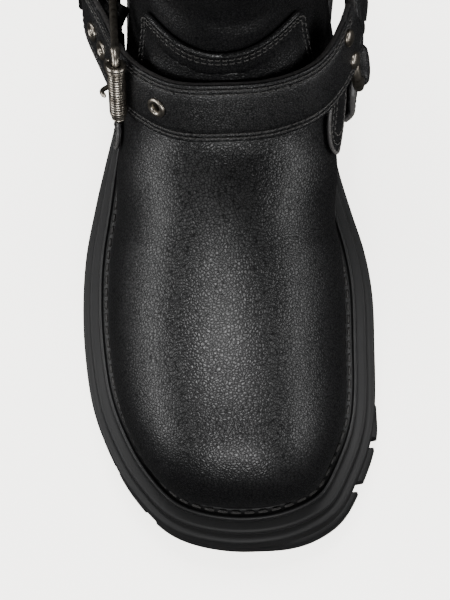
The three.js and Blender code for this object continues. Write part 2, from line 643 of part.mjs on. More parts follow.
// A ring of round wire, or part of one, in the plane of a harness ring
function wireArc(ring, tube, from, to, steps, sides_) {
  const centre = ringCentre(ring);
  const turn = (ring.turn * Math.PI) / 180;
  const normal = new THREE.Vector3(Math.cos(turn), Math.sin(turn), 0.12).normalize();
  const up = new THREE.Vector3(0, 0, 1).addScaledVector(normal, -normal.z).normalize();
  const back = up.clone().cross(normal).normalize();
  if (back.y < 0) back.negate();
  const closed = from === null;
  const rows = [];
  for (let i = 0; i < steps + (closed ? 0 : 1); i += 1) {
    const angle = closed
      ? (i / steps) * Math.PI * 2
      : ((from + ((to - from) * i) / steps) * Math.PI) / 180;
    const spoke = back.clone().multiplyScalar(Math.cos(angle)).addScaledVector(up, Math.sin(angle));
    const row = [];
    for (let k = 0; k < sides_; k += 1) {
      const a = (k / sides_) * Math.PI * 2;
      row.push(
        centre.clone()
          .addScaledVector(spoke, RING_RADIUS + tube * Math.cos(a))
          .addScaledVector(normal, tube * Math.sin(a)),
      );
    }
    rows.push(row);
  }
  return loft(rows, closed);
}

function looped(geometry, ring, from, to) {
  return toSolid(geometry)
    .add(toSolid(wireArc(ring, LOOP_RADIUS, from, to, 5, 8)))
    .subtract(toSolid(wireArc(ring, WIRE + GAP, null, null, 20, 8)));
}

const fromAxis = (point) => new THREE.Vector3(point.x - 2, (point.y - 75) * 0.6, 0);
const awayFromInstep = (point) => new THREE.Vector3(point.x * 0.03, -0.8, 0.9);
const front = strap(STRAP_PATHS.front, 39, (p) =>
  fromAxis(p).normalize().lerp(awayFromInstep(p), Math.max(0, 1 - Math.abs(p.x) / 40)));
const heelBand = strap(STRAP_PATHS.heel, 27, fromAxis, (t) => 1 + 0.6 * smooth(0.14, 0.1, t) + 0.6 * smooth(0.86, 0.9, t));
const lowerMedial = strap(STRAP_PATHS.lowerMedial, 8, (p) => new THREE.Vector3(p.x, 0, 0));
const lowerLateral = strap(STRAP_PATHS.lowerLateral, 8, (p) => new THREE.Vector3(p.x, 0, 0));

// Buckle: a frame whose front bar carries the roller and whose back bar carries the prong and chape
const spot = (t) => front.frames[Math.round((t / (STRAP_PATHS.front.length - 1)) * (front.frames.length - 1))];
const BAR_RADIUS = 1.5;
const rollerSpot = spot(7.2);
const backSpot = spot(10.0);
const rollerCentre = rollerSpot.at.clone()
  .addScaledVector(rollerSpot.out, STRAP_THICK / 2 + ROLLER_RADIUS + 0.9);
const backCentre = backSpot.at.clone().addScaledVector(backSpot.out, -(STRAP_THICK / 2 + 4.9));
const buckleU = backCentre.clone().sub(rollerCentre);
const buckleLength = buckleU.length();
buckleU.normalize();
const buckleW = rollerSpot.across.clone()
  .addScaledVector(buckleU, -rollerSpot.across.dot(buckleU)).normalize();
const buckleN = buckleU.clone().cross(buckleW).normalize();
if (buckleN.x > 0) buckleN.negate();
const buckleAt = (u, w, n) =>
  rollerCentre.clone().addScaledVector(buckleU, u).addScaledVector(buckleW, w).addScaledVector(buckleN, n);

// A round bar along points, with an own radius at each point
function bar(points, radii, count, closed = false) {
  const last = points.length - 1;
  let side = null;
  const rows = points.map((p, i) => {
    const before = closed ? points[(i + last) % (last + 1)] : points[Math.max(i - 1, 0)];
    const after = closed ? points[(i + 1) % (last + 1)] : points[Math.min(i + 1, last)];
    const tangent = after.clone().sub(before).normalize();
    if (!side) side = (Math.abs(tangent.dot(buckleN)) > 0.8 ? buckleW : buckleN).clone();
    side = side.clone().addScaledVector(tangent, -side.dot(tangent)).normalize();
    const other = tangent.clone().cross(side);
    return Array.from({ length: count }, (_, k) => {
      const a = ((k + 0.5) / count) * Math.PI * 2;
      return p.clone()
        .addScaledVector(side, radii[i] * Math.cos(a))
        .addScaledVector(other, radii[i] * Math.sin(a));
    });
  });
  return loft(rows, closed);
}

// A sleeve about an axis through a point: length along the axis, outer and inner radius
function sleeve(centre, axis, length, outer, inner, count) {
  const side = buckleN.clone().addScaledVector(axis, -buckleN.dot(axis)).normalize();
  const other = axis.clone().cross(side);
  const rows = Array.from({ length: count }, (_, k) => {
    const a = (k / count) * Math.PI * 2;
    const spoke = side.clone().multiplyScalar(Math.cos(a)).addScaledVector(other, Math.sin(a));
    return [[-0.5, inner], [0.5, inner], [0.5, outer], [-0.5, outer]].map(([along_, radius]) =>
      centre.clone().addScaledVector(axis, along_ * length).addScaledVector(spoke, radius));
  });
  return loft(rows, true);
}

const FRAME_HALF = STRAP_WIDTH / 2 + 3.2;
const CORNER = 4;
const framePoints = [];
for (const [u, w, from] of [
  [buckleLength - CORNER, FRAME_HALF - CORNER, 0],
  [CORNER, FRAME_HALF - CORNER, 90],
  [CORNER, CORNER - FRAME_HALF, 180],
  [buckleLength - CORNER, CORNER - FRAME_HALF, 270],
]) {
  for (let k = 0; k <= 4; k += 1) {
    const a = ((from + k * 22.5) * Math.PI) / 180;
    framePoints.push(buckleAt(u + CORNER * Math.cos(a), w + CORNER * Math.sin(a), 0));
  }
}
const buckleFrame = bar(framePoints, framePoints.map(() => BAR_RADIUS), 8, true);
const roller = sleeve(rollerCentre, buckleW, FRAME_HALF * 2 - 2 * CORNER + 1.6, ROLLER_RADIUS, BAR_RADIUS + 0.35, 20);

// Prong: from its ring on the back bar, under the strap, out through an eyelet, on to the roller
const holeSpot = spot(8.3);
const under = spot(9.1);
const prongPath = new THREE.CatmullRomCurve3([
  backCentre.clone().addScaledVector(buckleU, -2.2),
  under.at.clone().addScaledVector(under.out, -3.6),
  holeSpot.at.clone(),
  spot(7.75).at.clone().addScaledVector(spot(7.75).out, 4.1),
  buckleAt(0.6, 0, ROLLER_RADIUS + 2.3),
  buckleAt(-3.2, 0, ROLLER_RADIUS + 1.2),
]);
const prongPoints = prongPath.getSpacedPoints(15);
const prongRadii = prongPoints.map((_, i) => 1.25 - 0.4 * smooth(10, 15, i));
const prongSolid = toSolid(bar(prongPoints, prongRadii, 8))
  .add(toSolid(sleeve(backCentre, buckleW, 4.4, 3.1, BAR_RADIUS - 0.6, 14)))
  .subtract(toSolid(bar(framePoints, framePoints.map(() => BAR_RADIUS + 0.3), 8, true)));
const prongRoom = toSolid(bar(prongPoints, prongRadii.map((r) => r + 0.45), 8));

// Eyelets: flat rings on the strap's face over holes through it
const arc = [0];
front.frames.forEach((f, i) => {
  if (i) arc.push(arc[i - 1] + f.at.distanceTo(front.frames[i - 1].at));
});
const holeArc = arc[front.frames.indexOf(holeSpot)];
const eyeletSpots = [-2.7, 0, 1, 2].map((k) => {
  const target = holeArc + k * EYELET_PITCH;
  let best = 0;
  arc.forEach((a, i) => {
    if (Math.abs(a - target) < Math.abs(arc[best] - target)) best = i;
  });
  const f = front.frames[best];
  return { ...f, at: f.at.clone().addScaledVector(f.tangent, target - arc[best]) };
});
let frontSolid = looped(front.geometry, RINGS.medial, 48, 104).subtract(prongRoom);
eyeletSpots.forEach((f) => {
  frontSolid = frontSolid.subtract(toSolid(bar(
    [f.at.clone().addScaledVector(f.out, -4), f.at.clone().addScaledVector(f.out, 4)], [2, 2], 10)));
});
const eyelets = eyeletSpots.map((f) => {
  const geometry = toSolid(sleeve(f.at.clone().addScaledVector(f.out, STRAP_THICK / 2 + 1.35), f.out, 0.9, 3.3, 2.2, 14));
  return fromSolid(geometry.subtract(prongRoom));
});
const rivetSpot = spot(0.85);
const rivets = [-6.2, 6.2].map((w) => {
  const base = rivetSpot.at.clone()
    .addScaledVector(rivetSpot.across, w)
    .addScaledVector(rivetSpot.out, STRAP_THICK / 2 + 0.3);
  return bar([base, base.clone().addScaledVector(rivetSpot.out, 0.7), base.clone().addScaledVector(rivetSpot.out, 1.5)],
    [4.4, 4.4, 2.6], 14);
});

// Chape: a short folded strap from the back bar to the outer ring, slotted for the prong
const chapeEnd = ringCentre(RINGS.lateral)
  .add(new THREE.Vector3(0, -Math.cos(0.7), Math.sin(0.7)).multiplyScalar(RING_RADIUS));
const chapeRows = [0, 0.33, 0.66, 1].map((t) => {
  const at = backCentre.clone().lerp(chapeEnd, t);
  const w = 11 - 2.5 * t;
  const n = new THREE.Vector3(-1, 0, 0.1).normalize();
  return [[-w, -1.7], [w, -1.7], [w, 1.7], [-w, 1.7]].map(([a, b]) =>
    at.clone().addScaledVector(buckleW, a).addScaledVector(n, b));
});
const chapeSolid = toSolid(loft(chapeRows))
  .add(toSolid(sleeve(backCentre, buckleW, 22, 3.8, 1, 10)))
  .add(toSolid(wireArc(RINGS.lateral, LOOP_RADIUS - 0.7, 112, 172, 5, 8)))
  .subtract(toSolid(bar(framePoints, framePoints.map(() => BAR_RADIUS + 0.3), 8, true)))
  .subtract(toSolid(wireArc(RINGS.lateral, WIRE + GAP, null, null, 20, 8)))
  .subtract(toSolid(sleeve(backCentre, buckleW, 5.2, 9, 0.1, 10)))
  .subtract(prongRoom);

// Keeper: a leather loop round the strap's tail
const keeperSpot = spot(12.0);
const keeperRows = [[-12.6, -2], [12.6, -2], [12.6, 2], [-12.6, 2]].map(([a, b]) => {
  const outA = a + Math.sign(a) * 1.2;
  const outB = b + Math.sign(b) * 1.2;
  return [[a, b, -3], [a, b, 3], [outA, outB, 3], [outA, outB, -3]].map(([w, n, t]) =>
    keeperSpot.at.clone()
      .addScaledVector(keeperSpot.across, w)
      .addScaledVector(keeperSpot.out, n)
      .addScaledVector(keeperSpot.tangent, t));
});
const keeper = loft(keeperRows, true);

// Overlays on the upper: a patch between two boundaries given as sections, gap and thickness out
const OVERLAY = 1.6;
const OVERLAY_GAP = 0.95;
function patch(columns, rowCount, at) {
  const rows = [];
  for (let i = 0; i <= columns; i += 1) {
    const inner = [];
    const outer = [];
    for (let k = 0; k <= rowCount; k += 1) {
      const [s, v] = at(i / columns, k / rowCount);
      const point = upperPoint(s, v);
      const normal = upperNormal(s, v);
      inner.push(point.clone().addScaledVector(normal, OVERLAY_GAP));
      outer.push(point.clone().addScaledVector(normal, OVERLAY_GAP + OVERLAY));
    }
    rows.push([...inner, ...outer.reverse()]);
  }
  return loft(rows);
}

const TONGUE_HALF = 0.41;
const tongue = patch(16, 4, (a, b) => {
  const w = 2 * a - 1;
  const v = w * TONGUE_HALF;
  const low = 12.6 + 5 * v * v;
  const high = 14.75 + 9.3 * v * v;
  const round = 0.12 + 0.88 * Math.sqrt(Math.max(0, 1 - Math.abs(w) ** 9));
  return [low + (high - low) * round * b, v];
});
const tab = (side, low, high, middle, slant, half) => patch(10, 4, (a, b) => {
  const w = 2 * a - 1;
  const start = low + (high - low) * 0.45 * (1 - Math.sqrt(Math.max(0, 1 - w * w * 0.96)));
  const s = start + (high - start) * b;
  return [s, side * (middle - slant * (s - low) + half * w)];
});
const tabMedial = tab(1, 10.8, 13.2, 0.63, 0.03, 0.105);
const tabLateral = tab(-1, 10.9, 12.1, 0.69, 0.03, 0.075);

// The boot
const boot = new THREE.Group();
boot.position.x = CENTRE_X;

function add(name, geometry, look) {
  const mesh = new THREE.Mesh(geometry, look);
  mesh.name = name;
  boot.add(mesh);
}

add("outsole", fromSolid(outsoleSolid), RUBBER);
add("midsole", midsole, RUBBER);
add("welt", welt, RUBBER);
add("insole", insole, FOOTBED);
add("upper", upperSolid(), LEATHER);
add("vamp_tongue", tongue, LEATHER);
add("side_tab_medial", tabMedial, LEATHER);
add("side_tab_lateral", tabLateral, LEATHER);
add("strap_front", fromSolid(frontSolid), LEATHER);
add("strap_heel", fromSolid(looped(
  fromSolid(looped(heelBand.geometry, RINGS.medial, -34, 34)), RINGS.lateral, -34, 34)), LEATHER);
add("strap_lower_medial", fromSolid(looped(lowerMedial.geometry, RINGS.medial, 236, 304)), LEATHER);
add("strap_lower_lateral", fromSolid(looped(lowerLateral.geometry, RINGS.lateral, 236, 304)), LEATHER);
add("strap_chape", fromSolid(chapeSolid), LEATHER);
add("keeper", keeper, LEATHER);
add("ring_medial", wireArc(RINGS.medial, WIRE, null, null, 20, 8), METAL);
add("ring_lateral", wireArc(RINGS.lateral, WIRE, null, null, 20, 8), METAL);
add("buckle_frame", buckleFrame, METAL);
add("buckle_roller", roller, METAL);
add("buckle_prong", fromSolid(prongSolid), METAL);
eyelets.forEach((geometry, i) => add(`eyelet_${i + 1}`, geometry, METAL));
rivets.forEach((geometry, i) => add(`rivet_${i + 1}`, geometry, METAL));

export default boot;
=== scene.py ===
"""Looks of a slouch boot for the right foot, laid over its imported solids.

Lengths in the tables are millimetres or shares of named sizes, +Z is up, the toe points along -Y
and +X is the big-toe side. Meshes are made in millimetres and turned to metres in one place.
"""

import json
import math

import bmesh
import bpy
import numpy as np
from mathutils import Matrix, Vector

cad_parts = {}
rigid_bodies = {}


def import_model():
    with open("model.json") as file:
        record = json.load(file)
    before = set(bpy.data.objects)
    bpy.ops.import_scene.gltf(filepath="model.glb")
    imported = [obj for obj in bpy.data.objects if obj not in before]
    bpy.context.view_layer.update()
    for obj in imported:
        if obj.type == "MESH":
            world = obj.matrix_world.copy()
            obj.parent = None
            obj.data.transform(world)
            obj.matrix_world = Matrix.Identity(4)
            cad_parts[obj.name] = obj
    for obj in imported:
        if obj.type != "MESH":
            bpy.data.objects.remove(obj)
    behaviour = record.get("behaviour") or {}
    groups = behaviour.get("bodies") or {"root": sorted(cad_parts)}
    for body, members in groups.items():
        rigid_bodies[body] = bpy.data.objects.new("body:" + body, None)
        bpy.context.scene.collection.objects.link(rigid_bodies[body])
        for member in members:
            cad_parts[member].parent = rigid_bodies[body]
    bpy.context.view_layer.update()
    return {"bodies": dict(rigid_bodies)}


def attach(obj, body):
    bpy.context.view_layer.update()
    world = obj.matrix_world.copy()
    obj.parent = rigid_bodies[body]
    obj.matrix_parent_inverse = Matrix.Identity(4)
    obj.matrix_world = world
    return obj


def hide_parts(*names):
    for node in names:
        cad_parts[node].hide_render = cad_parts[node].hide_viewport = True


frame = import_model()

bl_info = {
    "name": "Slouch Boot",
    "version": (1, 0, 0),
    "blender": (4, 5, 0),
    "location": "3D View > Sidebar > Boot",
    "description": "Builds the leather, stitching, sole and harness of a slouch boot",
    "category": "Object",
}

BODY = sorted(frame["bodies"])[0]

# Driving sizes in millimetres
SOLE_LENGTH = 292
BALL_WIDTH = 118
BOOT_HEIGHT = 300
SHAFT_HALF_WIDTH = 51
SHAFT_X, SHAFT_Y = 2, 75
RIM_FOREFOOT = 12.3
RIM_HEEL = 6.6
STEP_RISE = 6
WALL = 2.2
GAP = 0.3
HEEL_BREAST = 60
CENTRE_X = -1
MEDIAL_BULGE = 4.6
STRAP_WIDTH = 25
STRAP_THICK = 3.2
RING_RADIUS = 13
WIRE = 2
LOOP_RADIUS = 4.7
ROLLER_RADIUS = 3.4
BAR_BORE = 1.85
FRAME_WIRE = 1.5
PRONG_SLOT = 5.2
EYELET_PITCH = 11.5
STITCH_BREADTH = 0.6
# Clear distance from a strap's back to the upper, more on the big-toe side where the tab lies between
STRAP_CLEAR, TAB_CLEAR, TAB_SIDE_FROM = 0.9, 2.9, 28

# Steps: stations round the sole's outline, frames along the straps
STATIONS = 640
FRONT_STEPS, HEEL_STEPS, LOWER_STEPS = 39, 27, 8

# Row of the upper's sections at the heel's back, and the table's last row
HEEL_ROW = 17
LAST_ROW = 27
# The upper's grid of points: rows by tenths of a section, turns from edge to edge
GRID_ROWS, GRID_TURNS = 271, 161

# Rows of the front strap's table where its parts lie
RIVET_ROW = 0.85
ROLLER_ROW = 7.2
OVER_ROW = 7.75
HOLE_ROW = 8.3
BELOW_ROW = 9.1
BACK_ROW = 10.0
KEEPER_ROW = 12.0

# Outline of the sole: side and length shares, toe first, then the big-toe side, heel, little-toe side
SOLE_OUTLINE = """
0.017 -0.5, 0.22 -0.492, 0.372 -0.459, 0.45 -0.404, 0.5 -0.338, 0.507 -0.219, 0.5 -0.147, 0.474 -0.089,
0.432 -0.034, 0.388 0.027, 0.353 0.1, 0.343 0.178, 0.364 0.274, 0.376 0.353, 0.343 0.425, 0.24 0.479,
0.017 0.5, -0.205 0.479, -0.317 0.425, -0.36 0.353, -0.354 0.26, -0.356 0.178, -0.386 0.103, -0.43 0.027,
-0.46 -0.034, -0.485 -0.1, -0.49 -0.17, -0.478 -0.24, -0.445 -0.315, -0.393 -0.37, -0.312 -0.426,
-0.178 -0.479
"""

# Levels along the sole: length share, underside and top as shares of the boot height
SOLE_LEVELS = """
-0.5 0.013 0.089, -0.43 0.004 0.083, -0.35 0 0.08, -0.2 0 0.08, -0.05 0 0.08, 0.02 0.006 0.083,
0.09 0.03 0.094, 0.17 0.043 0.111, 0.23 0.046 0.124, 0.35 0.046 0.137, 0.5 0.046 0.142
"""

# Sections of the upper, toe first: front, rise, back, drop, full, own, half, square, round
UPPER_SECTIONS = """
-0.4578 0.137 -0.4578 none 0 0 0 0.8 1, -0.4626 0.156 -0.454 none 0.004 0 0 0.78 1,
-0.4636 0.184 -0.4425 none 0.008 0 0 0.76 1, -0.459 0.216 -0.4225 none 0.01 0 0 0.74 1,
-0.443 0.248 -0.395 none 0.01 0 0 0.74 1, -0.411 0.273 -0.355 none 0.008 0 0 0.76 1,
-0.366 0.286 -0.308 none 0.005 0 0 0.8 1, -0.301 0.291 -0.247 none 0.003 0 0 0.84 1,
-0.226 0.293 -0.171 none 0.002 0 0 0.88 1, -0.15 0.296 -0.096 none 0.004 0 0 0.9 1,
-0.082 0.303 -0.02 none 0.02 0.1 0.83 0.92 0.97, -0.027 0.315 0.055 none 0.02 0.5 0.82 0.94 0.9,
0.007 0.341 0.123 none 0.02 0.9 0.8 0.95 0.82, 0.0325 0.37 0.192 none 0.02 1 0.775 0.96 0.74,
0.053 0.403 0.267 none 0.02 1 0.755 0.97 0.68, 0.065 0.44 0.342 none 0.02 1 0.74 0.98 0.64,
0.0685 0.477 0.411 none 0.02 1 0.73 1 0.62, 0.07 0.513 0.4774 0.1815 0.02 1 0.725 1 0.62,
0.07 0.553 0.479 0.227 0.02 1 0.72 1 0.63, 0.069 0.593 0.476 0.28 0.02 1 0.72 1 0.66,
0.067 0.633 0.466 0.347 0.02 1 0.735 1 0.7, 0.062 0.673 0.456 0.42 0.02 1 0.76 1 0.75,
0.056 0.713 0.452 0.5 0.02 1 0.8 1 0.8, 0.05 0.753 0.452 0.587 0.02 1 0.85 1 0.85,
0.044 0.8 0.454 0.675 0.02 1 0.9 1 0.9, 0.038 0.855 0.458 0.77 0.02 1 0.95 1 0.95,
0.033 0.925 0.461 0.88 0.02 1 0.98 1 1, 0.03 1 0.463 1 0.02 1 1 1 1
"""

# Main folds of the slack shaft: level, turn, spread, depth, band, slope
FOLDS = """
0.475 -20 80 -2.2 0.032 -0.03, 0.525 30 85 -4 0.032 0.05, 0.56 -110 80 -4 0.032 0.04,
0.6 150 85 -4 0.032 -0.06, 0.625 -5 95 -4.2 0.032 -0.05, 0.675 95 85 -4 0.032 0.04,
0.7 -120 90 -4.2 0.032 -0.05, 0.735 20 90 -4 0.032 0.05, 0.785 180 95 -3.8 0.032 0.04,
0.82 -40 90 -4 0.032 -0.04, 0.86 90 80 -2.6 0.03 0.02
"""

# Paths of the straps: side, length, level, lean across in x, y and z, breadth as a share
STRAP_PATHS = {
    "front": """
0.432 0.144 0.312 -0.12 0.55 0.83 1, 0.405 0.108 0.322 -0.12 0.52 0.85 1,
0.356 0.068 0.334 -0.08 0.52 0.85 1, 0.28 0.038 0.345 -0.04 0.56 0.83 1,
0.16 0.018 0.354 0 0.58 0.81 1, 0.02 0.013 0.3585 0 0.59 0.81 1,
-0.12 0.02 0.352 0 0.58 0.81 1, -0.228 0.05 0.333 0 0.57 0.82 1,
-0.3 0.084 0.311 0.06 0.55 0.83 1, -0.357 0.115 0.293 0.08 0.52 0.85 1,
-0.405 0.15 0.277 0.08 0.48 0.87 1, -0.446 0.19 0.264 0.06 0.42 0.9 1,
-0.459 0.228 0.257 0.05 0.38 0.92 0.93, -0.461 0.245 0.255 0.05 0.36 0.93 0.6
""",
    "heel": """
0.44 0.178 0.252 -0.2 0.05 0.98 0.72, 0.44 0.212 0.263 -0.22 0 0.98 0.95,
0.412 0.28 0.285 -0.14 -0.05 0.99 1, 0.36 0.36 0.298 -0.07 -0.08 0.99 1,
0.25 0.44 0.306 -0.03 -0.09 0.99 1, 0.017 0.482 0.31 0 -0.1 0.99 1,
-0.21 0.44 0.305 0.03 -0.09 0.99 1, -0.315 0.365 0.292 0.07 -0.08 0.99 1,
-0.366 0.31 0.268 0.1 0 0.99 0.95, -0.386 0.263 0.25 0.05 0.05 0.99 0.72
""",
    "lowerMedial": """
0.441 0.132 0.205 0.1 1 0 0.72, 0.438 0.124 0.188 0.14 0.98 0 0.95,
0.423 0.114 0.168 0.16 0.98 0 1, 0.388 0.105 0.151 0.16 0.98 0 1
""",
    "lowerLateral": """
-0.394 0.218 0.201 0 1 0 0.72, -0.399 0.212 0.187 -0.05 0.99 0 0.95,
-0.39 0.206 0.174 -0.06 0.99 0 1, -0.372 0.2 0.166 -0.06 0.99 0 1
""",
}

# Harness rings: side, length and level shares, and the turn of the ring's plane in degrees
RINGS = {"medial": (0.437, 0.132, 0.247, 4), "lateral": (-0.382, 0.218, 0.243, 176)}


def table(text):
    """Turn a written table into an array; the word none becomes not-a-number."""
    rows = [row.split() for row in text.replace("\n", " ").split(",")]
    return np.array([[math.nan if cell == "none" else float(cell) for cell in row] for row in rows])


# Curves and surfaces ---------------------------------------------------------------------------


def smooth(low, high, x):
    """An eased step from 0 at low to 1 at high."""
    u = np.clip((np.asarray(x, float) - low) / (high - low), 0, 1)
    return u * u * (3 - 2 * u)


def hermite(u, start, leave, end, arrive):
    """Curve from start to end with its slopes there, u from 0 to 1."""
    return (
        (2 * u**3 - 3 * u**2 + 1) * start
        + (u**3 - 2 * u**2 + u) * leave
        + (-2 * u**3 + 3 * u**2) * end
        + (u**3 - u**2) * arrive
    )


def along(values, t):
    """Smooth curve through evenly spaced rows of a table."""
    values = np.asarray(values, float)
    last = len(values) - 1
    t = np.clip(np.asarray(t, float), 0, last - 1e-9)
    i = np.floor(t).astype(int)
    u = t - i
    before, here = values[np.maximum(i - 1, 0)], values[i]
    after, beyond = values[np.minimum(i + 1, last)], values[np.minimum(i + 2, last)]
    if values.ndim > 1:
        u = u[..., None]
    return hermite(u, here, (after - before) / 2, after, (beyond - here) / 2)


def look_up(xs, values, x):
    """Values between sorted rows, eased a little at each row."""
    x = np.clip(x, xs[0], xs[-1])
    i = np.clip(np.searchsorted(xs, x, side="right") - 1, 0, len(xs) - 2)
    u = (x - xs[i]) / (xs[i + 1] - xs[i])
    eased = u * u * (3 - 2 * u) * 0.35 + u * 0.65
    return values[i] + (values[i + 1] - values[i]) * eased


def curve_through(points, t, closed=False):
    """Points of a centripetal curve through the given ones, t from 0 to 1."""
    points = np.asarray(points, float)
    count = len(points)
    p = (count if closed else count - 1) * np.asarray(t, float)
    i = np.floor(p).astype(int)
    if not closed:
        i = np.minimum(i, count - 2)
    u = (p - i)[:, None]

    def get(k):
        if closed:
            return points[k % count]
        inside = points[np.clip(k, 0, count - 1)]
        first, last = 2 * points[0] - points[1], 2 * points[-1] - points[-2]
        return np.where((k < 0)[:, None], first, np.where((k > count - 1)[:, None], last, inside))

    p0, p1, p2, p3 = get(i - 1), get(i), get(i + 1), get(i + 2)
    gaps = [
        np.maximum(np.linalg.norm(b - a, axis=1, keepdims=True) ** 0.5, 1e-6)
        for a, b in ((p0, p1), (p1, p2), (p2, p3))
    ]
    m1 = ((p1 - p0) / gaps[0] - (p2 - p0) / (gaps[0] + gaps[1]) + (p2 - p1) / gaps[1]) * gaps[1]
    m2 = ((p2 - p1) / gaps[1] - (p3 - p1) / (gaps[1] + gaps[2]) + (p3 - p2) / gaps[2]) * gaps[1]
    return hermite(u, p1, m1, p2, m2)


def unit(v):
    v = np.asarray(v, float)
    return v / np.maximum(np.linalg.norm(v, axis=-1, keepdims=True), 1e-12)


def resample(points, step, closed=False):
    """Points at even steps along a line, and the length of it."""
    points = np.asarray(points, float)
    if closed:
        points = np.vstack([points, points[:1]])
    lengths = np.r_[0, np.cumsum(np.linalg.norm(np.diff(points, axis=0), axis=1))]
    count = max(2, int(round(lengths[-1] / step)))
    at = np.linspace(0, lengths[-1], count + 1)
    if closed:
        at = at[:-1]
    return np.stack([np.interp(at, lengths, points[:, k]) for k in range(points.shape[1])], 1), lengths[-1]


OUTLINE, _ = resample(
    curve_through(table(SOLE_OUTLINE) * [BALL_WIDTH, SOLE_LENGTH], np.arange(4000) / 4000, closed=True),
    1,
    closed=True,
)
OUTLINE = np.stack(
    [np.interp(np.arange(STATIONS) * len(OUTLINE) / STATIONS, np.arange(len(OUTLINE) + 1),
               np.r_[OUTLINE[:, k], OUTLINE[0, k]]) for k in range(2)], 1)
_side = np.roll(OUTLINE, 3, 0) - np.roll(OUTLINE, -3, 0)
OUTLINE_INWARD = unit(np.stack([_side[:, 1], -_side[:, 0]], 1))
LEVELS = table(SOLE_LEVELS)
SECTIONS = table(UPPER_SECTIONS)
FOLD_ROWS = table(FOLDS)


def feather_inset(y):
    """How far the upper's foot lies inside the sole's outline."""
    return RIM_FOREFOOT + (RIM_HEEL - RIM_FOREFOOT) * smooth(-25, 45, y)


def outline(share, extra=0):
    """The sole's outline moved inward by a share of that inset and by extra millimetres."""
    inset = feather_inset(OUTLINE[:, 1]) * share + extra
    return OUTLINE + OUTLINE_INWARD * inset[:, None]


def under_level(y):
    return look_up(LEVELS[:, 0], LEVELS[:, 1], np.asarray(y) / SOLE_LENGTH) * BOOT_HEIGHT


def top_level(y):
    return look_up(LEVELS[:, 0], LEVELS[:, 2], np.asarray(y) / SOLE_LENGTH) * BOOT_HEIGHT


def feather_level(y):
    return top_level(y) + 2 * STEP_RISE


def sides(points, y):
    """Left and right side of an outline at one length."""
    nxt = np.roll(points, -1, 0)
    hit = (points[:, 1] - y) * (nxt[:, 1] - y) <= 0
    hit &= points[:, 1] != nxt[:, 1]
    if not hit.any():
        return 2.0, 2.0
    a, b = points[hit], nxt[hit]
    x = a[:, 0] + (b[:, 0] - a[:, 0]) * (y - a[:, 1]) / (b[:, 1] - a[:, 1])
    return x.min(), x.max()


FEATHER = outline(1)
FRONT, RISE, BACK, DROP, FULL, OWN, HALF, SQUARE, ROUND = SECTIONS.T
DROPS = np.where(np.isnan(DROP), feather_level(BACK * SOLE_LENGTH) / BOOT_HEIGHT, DROP)


def fold_depth(level, turn, rows):
    """Depth of soft troughs with a ridge above and below, from rows like those of FOLDS."""
    depth = np.zeros_like(level)
    for at, middle, spread, deep, band, slope in rows:
        away = (turn - middle + 180) % 360 - 180
        reach = np.maximum(0, 1 - (away / spread) ** 2)
        off = (level - at - slope * away / 90) / band
        ridge = np.exp(-((off - 2.1) ** 2)) + np.exp(-((off + 2.1) ** 2))
        depth += deep * reach**2 * (np.exp(-off * off) - 0.35 * ridge)
    return depth * smooth(1, 0.93, level)


def upper_row(s, v, creases=None):
    """One section of the upper's outer surface: v is -1 at the little-toe edge, 0 on the ridge."""
    v = np.asarray(v, float)
    back, front_y = along(BACK, s) * SOLE_LENGTH, along(FRONT, s) * SOLE_LENGTH
    rise = along(RISE, s) * BOOT_HEIGHT
    foot_z = feather_level(back) if s <= HEEL_ROW else along(DROPS, s) * BOOT_HEIGHT
    left, right = sides(FEATHER, back) if s < HEEL_ROW else (0.0, 0.0)
    own = float(np.clip(along(OWN, s), 0, 1))
    middle = (left + right) / 2 if s < HEEL_ROW else SHAFT_X
    width = (right - left) / 2 if 0 < s < HEEL_ROW else 0
    half = (1 - own) * (width + along(FULL, s) * SHAFT_HALF_WIDTH) + own * along(HALF, s) * SHAFT_HALF_WIDTH
    reach = max(half, width + 0.05) if s > 0 else 0
    curve = float(along(ROUND, s))
    wide = min(1, width / reach) if s > 0 else 1
    start_cos = 1 - curve * (1 - math.sqrt(1 - wide * wide))
    start = math.acos(start_cos)
    phi = start + (math.pi - start) * (1 - np.abs(v))
    r = (start_cos - np.cos(phi)) / (start_cos + 1)
    heel_end = np.maximum(0, 1 - (1 - np.cos(phi)) / curve)
    shape = np.where(
        phi < math.pi / 2,
        np.sqrt(np.maximum(0, 1 - heel_end**2)),
        np.maximum(np.sin(phi), 0) ** float(along(SQUARE, s)),
    )
    bulge = np.where(v > 0, MEDIAL_BULGE * smooth(7, 11, s) * smooth(15, 12, s) * smooth(0, 0.25, r), 0)
    side = np.sign(v) * (reach + bulge) * shape
    centre = middle + (SHAFT_X + 2 * smooth(17, 27, s) - middle) * smooth(6, 17, s) * np.minimum(1, r * 3)
    points = np.stack([centre + side, back + (front_y - back) * r, foot_z + (rise - foot_z) * r], 1)
    level = points[:, 2] / BOOT_HEIGHT
    axis = (front_y + back) / 2
    turn = np.degrees(np.arctan2(points[:, 0] - centre, axis - points[:, 1]))
    out = unit(np.stack([points[:, 0] - centre, points[:, 1] - axis, np.zeros_like(r)], 1))
    depth = np.where(level > 0.4, fold_depth(level, turn, FOLD_ROWS), 0)
    if creases is not None:
        depth = depth + fold_depth(level, turn, creases) * smooth(0.4, 0.44, level)
    points += out * depth[:, None]
    return points


def upper_grid(stops, turns, creases=None):
    return np.array([upper_row(float(s), turns, creases) for s in stops])


SURFACE = upper_grid(np.linspace(0, LAST_ROW, GRID_ROWS), np.linspace(-1, 1, GRID_TURNS))
